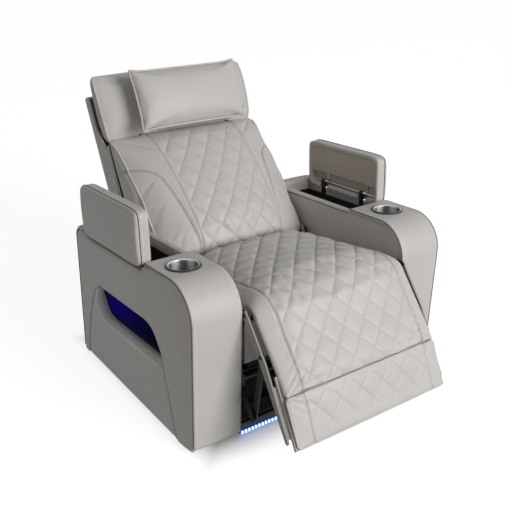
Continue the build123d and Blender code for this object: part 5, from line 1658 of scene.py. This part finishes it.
    def build_bin_edge(self) -> None:
        """Leather roll over the bin's inner edge."""
        y = np.linspace(self.bin_front, self.bin_rear, 60)
        over = np.array([(2.0, -7.0), (3.0, -2.0), (7.0, 0.6), (20.0, 0.6), (24.0, -2.0), (24.6, -30.0)])
        points = np.stack(np.broadcast_arrays(self.inner + over[None, :, 0], y[:, None],
                                              self.ledge(y)[:, None] + over[None, :, 1]), axis=-1)
        self.panel("bin_edge_roll", points, (0, 0, 1))

    @property
    def front_seam(self) -> np.ndarray:
        """Slanting seam from the foot to the pocket's front end, side view."""
        return np.array([(self.seam_feet[0], self.foot), self.pocket_front])

    @property
    def rear_seam(self) -> np.ndarray:
        """Bowed seam from the foot up behind the pocket to its upper rear corner, side view."""
        return smooth_line([(self.seam_feet[1], self.foot), (285.0, 60.0), (267.0, 140.0), (245.0, 208.0),
                            (225.0, 256.0), (205.0, 289.0), self.pocket_rear], 90)

    def outer_bounds(self) -> tuple[np.ndarray, np.ndarray]:
        """Matched outer and inner side-view lines of the panel that runs up, over the pocket and down.

        Returns:
            The outer line and the inner line.
        """
        front, rear = self.front + self.seam_back, self.rear - self.cover
        arc_front = self.round_corner(self.seam_back, False, 30)
        arc_rear = self.round_corner(self.cover, True, 20)
        start, end, slant = self.bin_front, self.bin_rear, self.bin_rear - 20.0
        edge = [(start, float(self.ledge(start))), (start + 4.0, float(self.ledge(start)) - self.notch),
                (slant, float(self.ledge(slant)) - self.notch), (end, float(self.ledge(end)))]
        notch = rounded_line([arc_front[-1], *edge, arc_rear[0]], [6, 8, 8, 6], 120)
        front_split, rear_split = (front, 250.0), (rear, 280.0)
        outer = [np.array([(front, self.foot), front_split]), np.vstack([[front_split], arc_front]), notch,
                 np.vstack([arc_rear, [rear_split]]), np.array([rear_split, (rear, self.foot)])]
        seam = self.rear_seam[::-1]
        turn = int(np.argmin(np.abs(seam[:, 1] - 250.0)))
        top_front, top_rear = self.pocket_top
        nose = rounded_line([self.pocket_front, (-206.0, 252.0), (-154.0, 323.0), top_front], [5.0, 40.0], 40)
        inner = [self.front_seam, nose, np.array([top_front, top_rear]),
                 np.vstack([[top_rear], seam[:turn + 1]]), seam[turn:]]
        counts = [50, 46, 120, 44, 56]
        first, second = (np.vstack([even(run, n)[:-1] for run, n in zip(runs, counts)] + [runs[-1][-1:]])
                         for runs in (outer, inner))
        return first, second

    def build_outer_panel(self) -> None:
        """Outside panel: ruled between its lines, rolled over near each, turned into the pocket."""
        outer, inner = self.outer_bounds()
        flat = inner[:, None] + (outer - inner)[:, None] * dense_ends(46)[None, :, None]
        spots = flat.reshape(-1, 2)
        turn = int(np.argmax(outer[:, 0] > self.bin_front - 40.0))
        depth = self.seam_in + 1.5
        soft = roll(line_distance(spots, outer[:turn]) * depth / self.side_roll, depth)
        tight = roll(line_distance(spots, outer[turn:]), 11.0)
        fall = np.maximum(roll(line_distance(spots, inner), 9.0), np.maximum(soft, tight))
        fall = fall.reshape(flat.shape[:2])
        flat = np.concatenate([flat[:, :1], flat], axis=1)
        fall = np.concatenate([np.full((len(flat), 1), 20.0), fall], axis=1)
        points = in_space(self.outer + 1.0 - fall, flat)
        self.panel("arm_outer_panel", points, self.side.outward, "arm_outer_cover", 0.5)

    def build_pocket_panel(self) -> None:
        """Padded panel below the pocket, with a full roll along the pocket's lower and rear lip."""
        bottom = np.array([(y, self.foot) for y in self.seam_feet])
        slot = rounded_line([self.pocket_front, (150.0, 224.0), self.pocket_rear], [52.0], 120)
        flat = spanned(bottom, slot, self.front_seam, self.rear_seam, (150, 80))
        spots = flat.reshape(-1, 2)
        height = spots[:, 1] - self.foot
        from_lip = line_distance(spots, slot)
        from_seam = np.minimum(*[line_distance(spots, seam) for seam in (self.front_seam, self.rear_seam)])
        lip = 8.0 * groove(from_lip - 13.0, 12.0) * ease(from_seam, 2.0, 34.0)
        fall = roll(from_lip, 9.0) + roll(from_seam, 8.0) + roll(height, 7.0)
        swell = 3.0 * puff(from_seam / 90.0) * puff(height / 120.0)
        x = (self.outer + lip + swell - np.minimum(fall, 11.0)).reshape(flat.shape[:2])
        flat = np.concatenate([flat, flat[:, -1:]], axis=1)
        x = np.concatenate([x, np.full((len(x), 1), self.outer - 14.0)], axis=1)
        self.panel("arm_pocket_lip_panel", in_space(x, flat), self.side.outward, "arm_pocket_panel", 0.6)

    def build_seams(self) -> None:
        """Welts in the grooves beside the front strip, in dark leather that paints the shade of those
        grooves, its stitch rows and the panel's two slanting seams.
        """
        path = self.front_path()[4:-4]
        normal = -beside(path)
        upward = across(0.0, normal)
        seam = self.outer - self.seam_in
        welts, rows = [], []
        for x, sink, row in ((self.inner + 0.6, 3.2, self.inner + 10.0), (seam + 0.8, 2.6, seam - 9.0)):
            welts.append(self.welt(across(x, path - normal * sink), 2.0, upward))
            rows.append((self.handed(across(row, path - normal * 0.9)), self.handed(upward)))
        y = np.linspace(self.bin_front, self.bin_rear, 60)
        line = across(self.inner + 1.2, np.column_stack([y, self.ledge(y) - 6.0]))
        welts.append(self.welt(line, 1.8, np.tile([0.0, 0.0, 1.0], (60, 1))))
        outward = np.tile([1.0, 0.0, 0.0], (80, 1))
        slanting = [self.welt(across(self.outer - 0.8, even(seam, 80)), 2.2, outward)
                    for seam in (self.front_seam, self.rear_seam)]
        suffix = self.side.suffix
        # the groove welts wear the dark welt leather, which is painted shade
        for piece in (patch_piece(f"arm_welts_{suffix}", welts, WELT_SHADE_LEATHER),
                      patch_piece(f"arm_panel_welts_{suffix}", slanting, ARM_LEATHER),
                      sew_rows(f"arm_front_stitches_{suffix}", rows)):
            dress(piece, "base")

    def build(self) -> None:
        """Make all the soft pieces of the arm."""
        self.strip("arm_front_strip", self.front_path(), 3.5, 1.5, "arm_front_cover", trim=self.seam_in)
        self.strip("arm_rear_strip", self.rear_path(), 9.0, 4.0, "arm_rear_cover")
        self.build_inner_panel()
        self.build_bin_edge()
        self.build_outer_panel()
        self.build_pocket_panel()
        self.build_seams()


@dataclass
class Lid:
    """Padded lid of one arm, standing open: crowned outside, a soft rim round its lining."""

    side: Side
    axis_x: float = 444.0
    mid_y: float = 80.0
    axis_z: float = 490.23
    slope: float = 4.0
    length: float = 362.0
    reach: float = 142.0
    drop: float = 24.0
    outside: float = 31.0
    rim: float = -15.0
    face: float = 9.0
    rim_width: float = 16.0
    square: float = 11.0
    hinge_gap: float = 200.0
    lining_from: float = 32.0
    edge: float = 10.0
    count: int = 360

    @property
    def mid(self) -> float:
        """Height of the lid's middle above its hinge."""
        return (self.reach - self.drop) / 2

    @property
    def half_tall(self) -> float:
        """Half of the lid's height."""
        return (self.reach + self.drop) / 2

    def loop(self, inset: float, count: int) -> np.ndarray:
        """Squared ellipse |a|^p + |b|^p = 1, drawn in by inset: places along the lid and up it.

        Args:
            inset: Distance in from the outline.
            count: Number of points wanted.

        Returns:
            Places along and up, one point per row.
        """
        turn = (np.arange(count) + 0.5) / count * math.tau
        c, s = np.cos(turn), np.sin(turn)
        stretch = (np.abs(c) ** self.square + np.abs(s) ** self.square) ** (-1.0 / self.square)
        half_long, half_tall = self.length / 2 - inset, self.half_tall - inset
        return np.column_stack([half_long * c * stretch, half_tall * s * stretch + self.mid])

    def place(self, along: np.ndarray, up: np.ndarray, out: np.ndarray) -> np.ndarray:
        """Points from places along, up and out of the lid's hinge plane.

        Args:
            along: Places along the hinge.
            up: Places up the lid.
            out: Distances outwards.

        Returns:
            Points of the CAD frame.
        """
        a = math.radians(self.slope)
        y = self.mid_y + along * math.cos(a) + up * math.sin(a)
        z = self.axis_z - along * math.sin(a) + up * math.cos(a)
        return np.stack([self.side.value * (self.axis_x + out), y, z], axis=-1)

    def middle(self, out: np.ndarray) -> np.ndarray:
        """Points on the line through the lid's middle, out of its hinge plane."""
        return self.place(np.zeros(len(out)), np.full(len(out), self.mid), out)

    def crown(self, up: np.ndarray) -> np.ndarray:
        """Fall of the outer face away from its middle line."""
        return 4.0 * ((up - self.mid) / self.half_tall) ** 2

    def outer_face(self) -> Patch:
        """Outer face on a squared grid, its border rolled over by its distance from the outline.

        Returns:
            The face's grid.
        """
        a, b = np.meshgrid(2 * dense_ends(100) - 1, 2 * dense_ends(70) - 1, indexing="ij")
        norm = (np.abs(a) ** self.square + np.abs(b) ** self.square) ** (1 / self.square)
        share = np.maximum(np.abs(a), np.abs(b)) / np.maximum(norm, TINY)
        along, up = a * share * self.length / 2, b * share * self.half_tall + self.mid
        outline = self.loop(0.0, 240)
        inset = line_distance(np.column_stack([along.ravel(), up.ravel()]), np.vstack([outline, outline[:1]]))
        fall = self.crown(up) + roll(inset.reshape(a.shape), self.edge)
        points = self.place(along, up, self.outside - fall)
        first, second = points[1, 1] - points[0, 0], points[0, 1] - points[1, 0]
        return Patch(points if np.cross(first, second)[0] * self.side.value > 0 else points[::-1])

    def side_rings(self) -> Patch:
        """Side, soft rim and the recess over the hinges: outlines drawn in step by step, facing out.

        Returns:
            The grid of rings.
        """
        lip, border = 6.0, self.outside - self.edge
        steps = [(0.3, border + 1.0), (0.0, border - 6.0), (0.0, self.rim + lip)]
        steps += [(lip - lip * math.cos(t), self.rim + lip - lip * math.sin(t))
                  for t in np.linspace(0.0, math.pi / 2, 9)[1:]]
        steps += [(self.rim_width - 5.0, self.rim), (self.rim_width - 1.0, self.rim + 3.0),
                  (self.rim_width, self.face + 0.5)]
        rings = []
        for inset, out in steps:
            along, up = self.loop(inset, self.count).T
            near = np.abs(np.abs(along) - self.hinge_gap / 2)
            hinge = (1 - ease(near, 19.0, 23.0)) * (up < -self.drop + self.rim_width + 6.0)
            pressed = np.where(out < self.face, self.face - 0.5 - out, 0.0) * hinge
            lowered = self.crown(up) * (out > border)
            rings.append(self.place(along, up, out + pressed - lowered))
        points = np.stack(rings)
        first, second = points[2, 1] - points[1, 0], points[1, 1] - points[2, 0]
        facing = np.cross(first, second) @ (points[1, 0] - self.middle(np.zeros(1))[0]) > 0
        return Patch(points if facing else points[::-1], wrap_columns=True)

    def build_lining(self) -> None:
        """Padded lining panel that fills the lid between its rim and the recess over the hinges."""
        share = dense_ends(60)
        low, high = self.lining_from, self.reach - self.rim_width + 1.0
        half = self.length / 2 - self.rim_width + 1.0
        a, up = np.meshgrid((2 * share - 1) * half, low + (high - low) * share, indexing="ij")
        inset = np.minimum(half - np.abs(a), np.minimum(up - low, high - up))
        out = self.rim + 3.5 - 1.5 * puff(inset / 40.0) + roll(inset, 6.0)
        a, up, out = (np.pad(grid, 1, mode="edge") for grid in (a, up, out))
        out[[0, -1]] = self.face
        out[:, [0, -1]] = self.face
        panel = patch_piece(f"lid_lining_{self.side.suffix}", [Patch(self.place(a, up, out))], LID_LINING,
                            outward=self.side.inward)
        dress(panel, f"lid_{self.side.suffix}")

    def build(self) -> None:
        """Pad of outer face, side and rim, then its welt and stitches."""
        suffix = self.side.suffix
        body = f"lid_{suffix}"
        self.build_lining()
        pad = patch_piece(f"lid_cover_{suffix}", [self.outer_face(), self.side_rings()], ARM_LEATHER,
                          outward=self.side.outward)
        dress(pad, body, [f"lid_pad_{suffix}"])
        out = np.full(self.count, self.outside - self.edge - 4.0)
        line = self.place(*self.loop(-0.3, self.count).T, out)
        welt = cord_patch(line, 1.6, np.broadcast_to([1.0, 0.0, 0.0], line.shape), closed=True)
        # the lid's welt wears the dark welt leather, which is painted shade
        dress(patch_piece(f"lid_welt_{suffix}", [welt], WELT_SHADE_LEATHER), body)
        along, up = self.loop(12.0, self.count).T
        top = self.place(along, up, self.outside - self.crown(up) + 0.2)
        rows = [(top, np.broadcast_to(self.side.outward, top.shape)),
                (self.place(*self.loop(0.0, self.count).T, out - 8.0), line - self.middle(out))]
        dress(sew_rows(f"lid_stitches_{suffix}", rows), body)


# ---------------------------------------------------------------- studio


@dataclass
class Studio:
    """Pale floor, soft lights and the camera at the photograph's angle."""

    azimuth: float = -36.28
    elevation: float = 24.62
    twist: float = 1.24
    place: tuple[float, float, float] = (-1.35965, -1.85699, 1.41729)
    lens: float = 54.92
    aim: tuple[float, float, float] = (0.0, -0.1, 0.4)
    sky: float = 0.17
    floor_glow: float = 0.86
    floor_half: float = 30000.0
    floor_z: float = -0.5
    # box under the chair where the floor's emission is taken away as a painted shadow, and the width of its
    # soft edge
    under: tuple[float, float] = (330.0, 300.0)
    fade: float = 160.0
    lamps: tuple[tuple[str, float, float, tuple[float, float, float]], ...] = (
        ("key", 325.0, 3.4, (1.5, -6.0, 3.0)), ("fill", 14.0, 3.0, (-4.0, -2.5, 4.5)))

    def build_camera(self) -> None:
        """Camera whose axes are right, up and back, turned by the photograph's small roll."""
        a, e, r = (math.radians(v) for v in (self.azimuth, self.elevation, self.twist))
        back = np.array([math.sin(a) * math.cos(e), -math.cos(a) * math.cos(e), math.sin(e)])
        right = np.array([math.cos(a), math.sin(a), 0.0])
        up = np.cross(back, right)
        turned = math.cos(r) * right + math.sin(r) * up
        upright = -math.sin(r) * right + math.cos(r) * up
        camera = bpy.data.objects.new("camera", bpy.data.cameras.new("camera"))
        camera.data.lens = self.lens
        camera.data.sensor_width = 36.0
        matrix = np.eye(4)
        matrix[:3] = np.column_stack([turned, upright, back, self.place])
        camera.matrix_world = Matrix(matrix.tolist())
        bpy.context.scene.collection.objects.link(camera)
        bpy.context.scene.camera = camera

    def build_floor(self) -> None:
        """Wide pale floor, near white to the camera, with a painted shadow under the chair between its arms
        where its emission is taken away.
        """
        finish = MouldedPlastic("pale_studio_floor", "#9C9C9B", "#A3A3A2", grain=30.0, roughness=0.9)
        tree = finish.material().node_tree
        sketch = Sketch(tree)
        split = sketch.split(sketch.place())
        # painted shadow: the floor's white emission fades out in a box under the chair
        clear = [sketch.share(sketch.math("ABSOLUTE", place), near * MM, (near + self.fade) * MM,
                              interpolation_type="SMOOTHSTEP") for place, near in zip(split, self.under)]
        glow_outside_painted_shadow = sketch.math("MULTIPLY", sketch.math("MAXIMUM", *clear), self.seen(sketch))
        sketch.fill(tree.nodes["Principled BSDF"], {
            "Emission Color": WHITE, "Emission Strength": sketch.span(glow_outside_painted_shadow, 0.0, self.floor_glow)})
        spread = np.linspace(-self.floor_half, self.floor_half, 9)
        grid = np.stack(np.meshgrid(spread, spread, [self.floor_z], indexing="ij"), axis=-1)[:, :, 0]
        floor = patch_piece("studio_floor", [Patch(grid)], finish, outward=(0, 0, 1))

    def seen(self, sketch: Sketch) -> Socket:
        """1 for camera, glossy and transmission rays, which should meet a white studio.

        Args:
            sketch: Node tree to draw in.

        Returns:
            The output that carries it.
        """
        path = sketch.node("LightPath").outputs
        metal = sketch.math("MAXIMUM", path["Is Glossy Ray"], path["Is Transmission Ray"])
        return sketch.math("MAXIMUM", path["Is Camera Ray"], metal)

    def build_lights(self) -> None:
        """Even sky, a broad low softbox from the front right and a weak one from the upper left."""
        scene = bpy.context.scene
        world = bpy.data.worlds.new("studio")
        world.use_nodes = True
        sketch = Sketch(world.node_tree)
        sketch.fill(world.node_tree.nodes["Background"], {
            "Color": WHITE, "Strength": sketch.span(self.seen(sketch), self.sky, 1.0)})
        scene.world = world
        for name, power, size, place in self.lamps:
            lamp = bpy.data.lights.new(name, "AREA")
            lamp.energy = power
            lamp.size = size
            light = bpy.data.objects.new(name, lamp)
            light.location = place
            light.rotation_euler = (Vector(place) - Vector(self.aim)).to_track_quat("Z", "Y").to_euler()
            scene.collection.objects.link(light)

    def build(self) -> None:
        """Set the camera, the floor, the lights and the plain view transform."""
        bpy.context.scene.view_settings.view_transform = "Standard"
        self.build_camera()
        self.build_floor()
        self.build_lights()


def finish_nodes() -> None:
    """Give every CAD node that stays in view the finish of its name's longest match."""
    for name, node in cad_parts.items():
        matches = [key for key in NODE_FINISHES if name.startswith(key)]
        if matches and node.type == "MESH":
            node.data.materials.clear()
            node.data.materials.append(NODE_FINISHES[max(matches, key=len)].material())
            LOG.info("%s finished", name)


def main() -> None:
    """Build the chair's sub-assemblies in order and the studio round them."""
    logging.basicConfig(level=logging.INFO, format="%(name)s: %(message)s")
    finish_nodes()
    for side in Side:
        Arm(side).build()
        Lid(side).build()
    Chaise().build()
    Back().build()
    Studio().build()


if __name__ == "__main__":
    main()
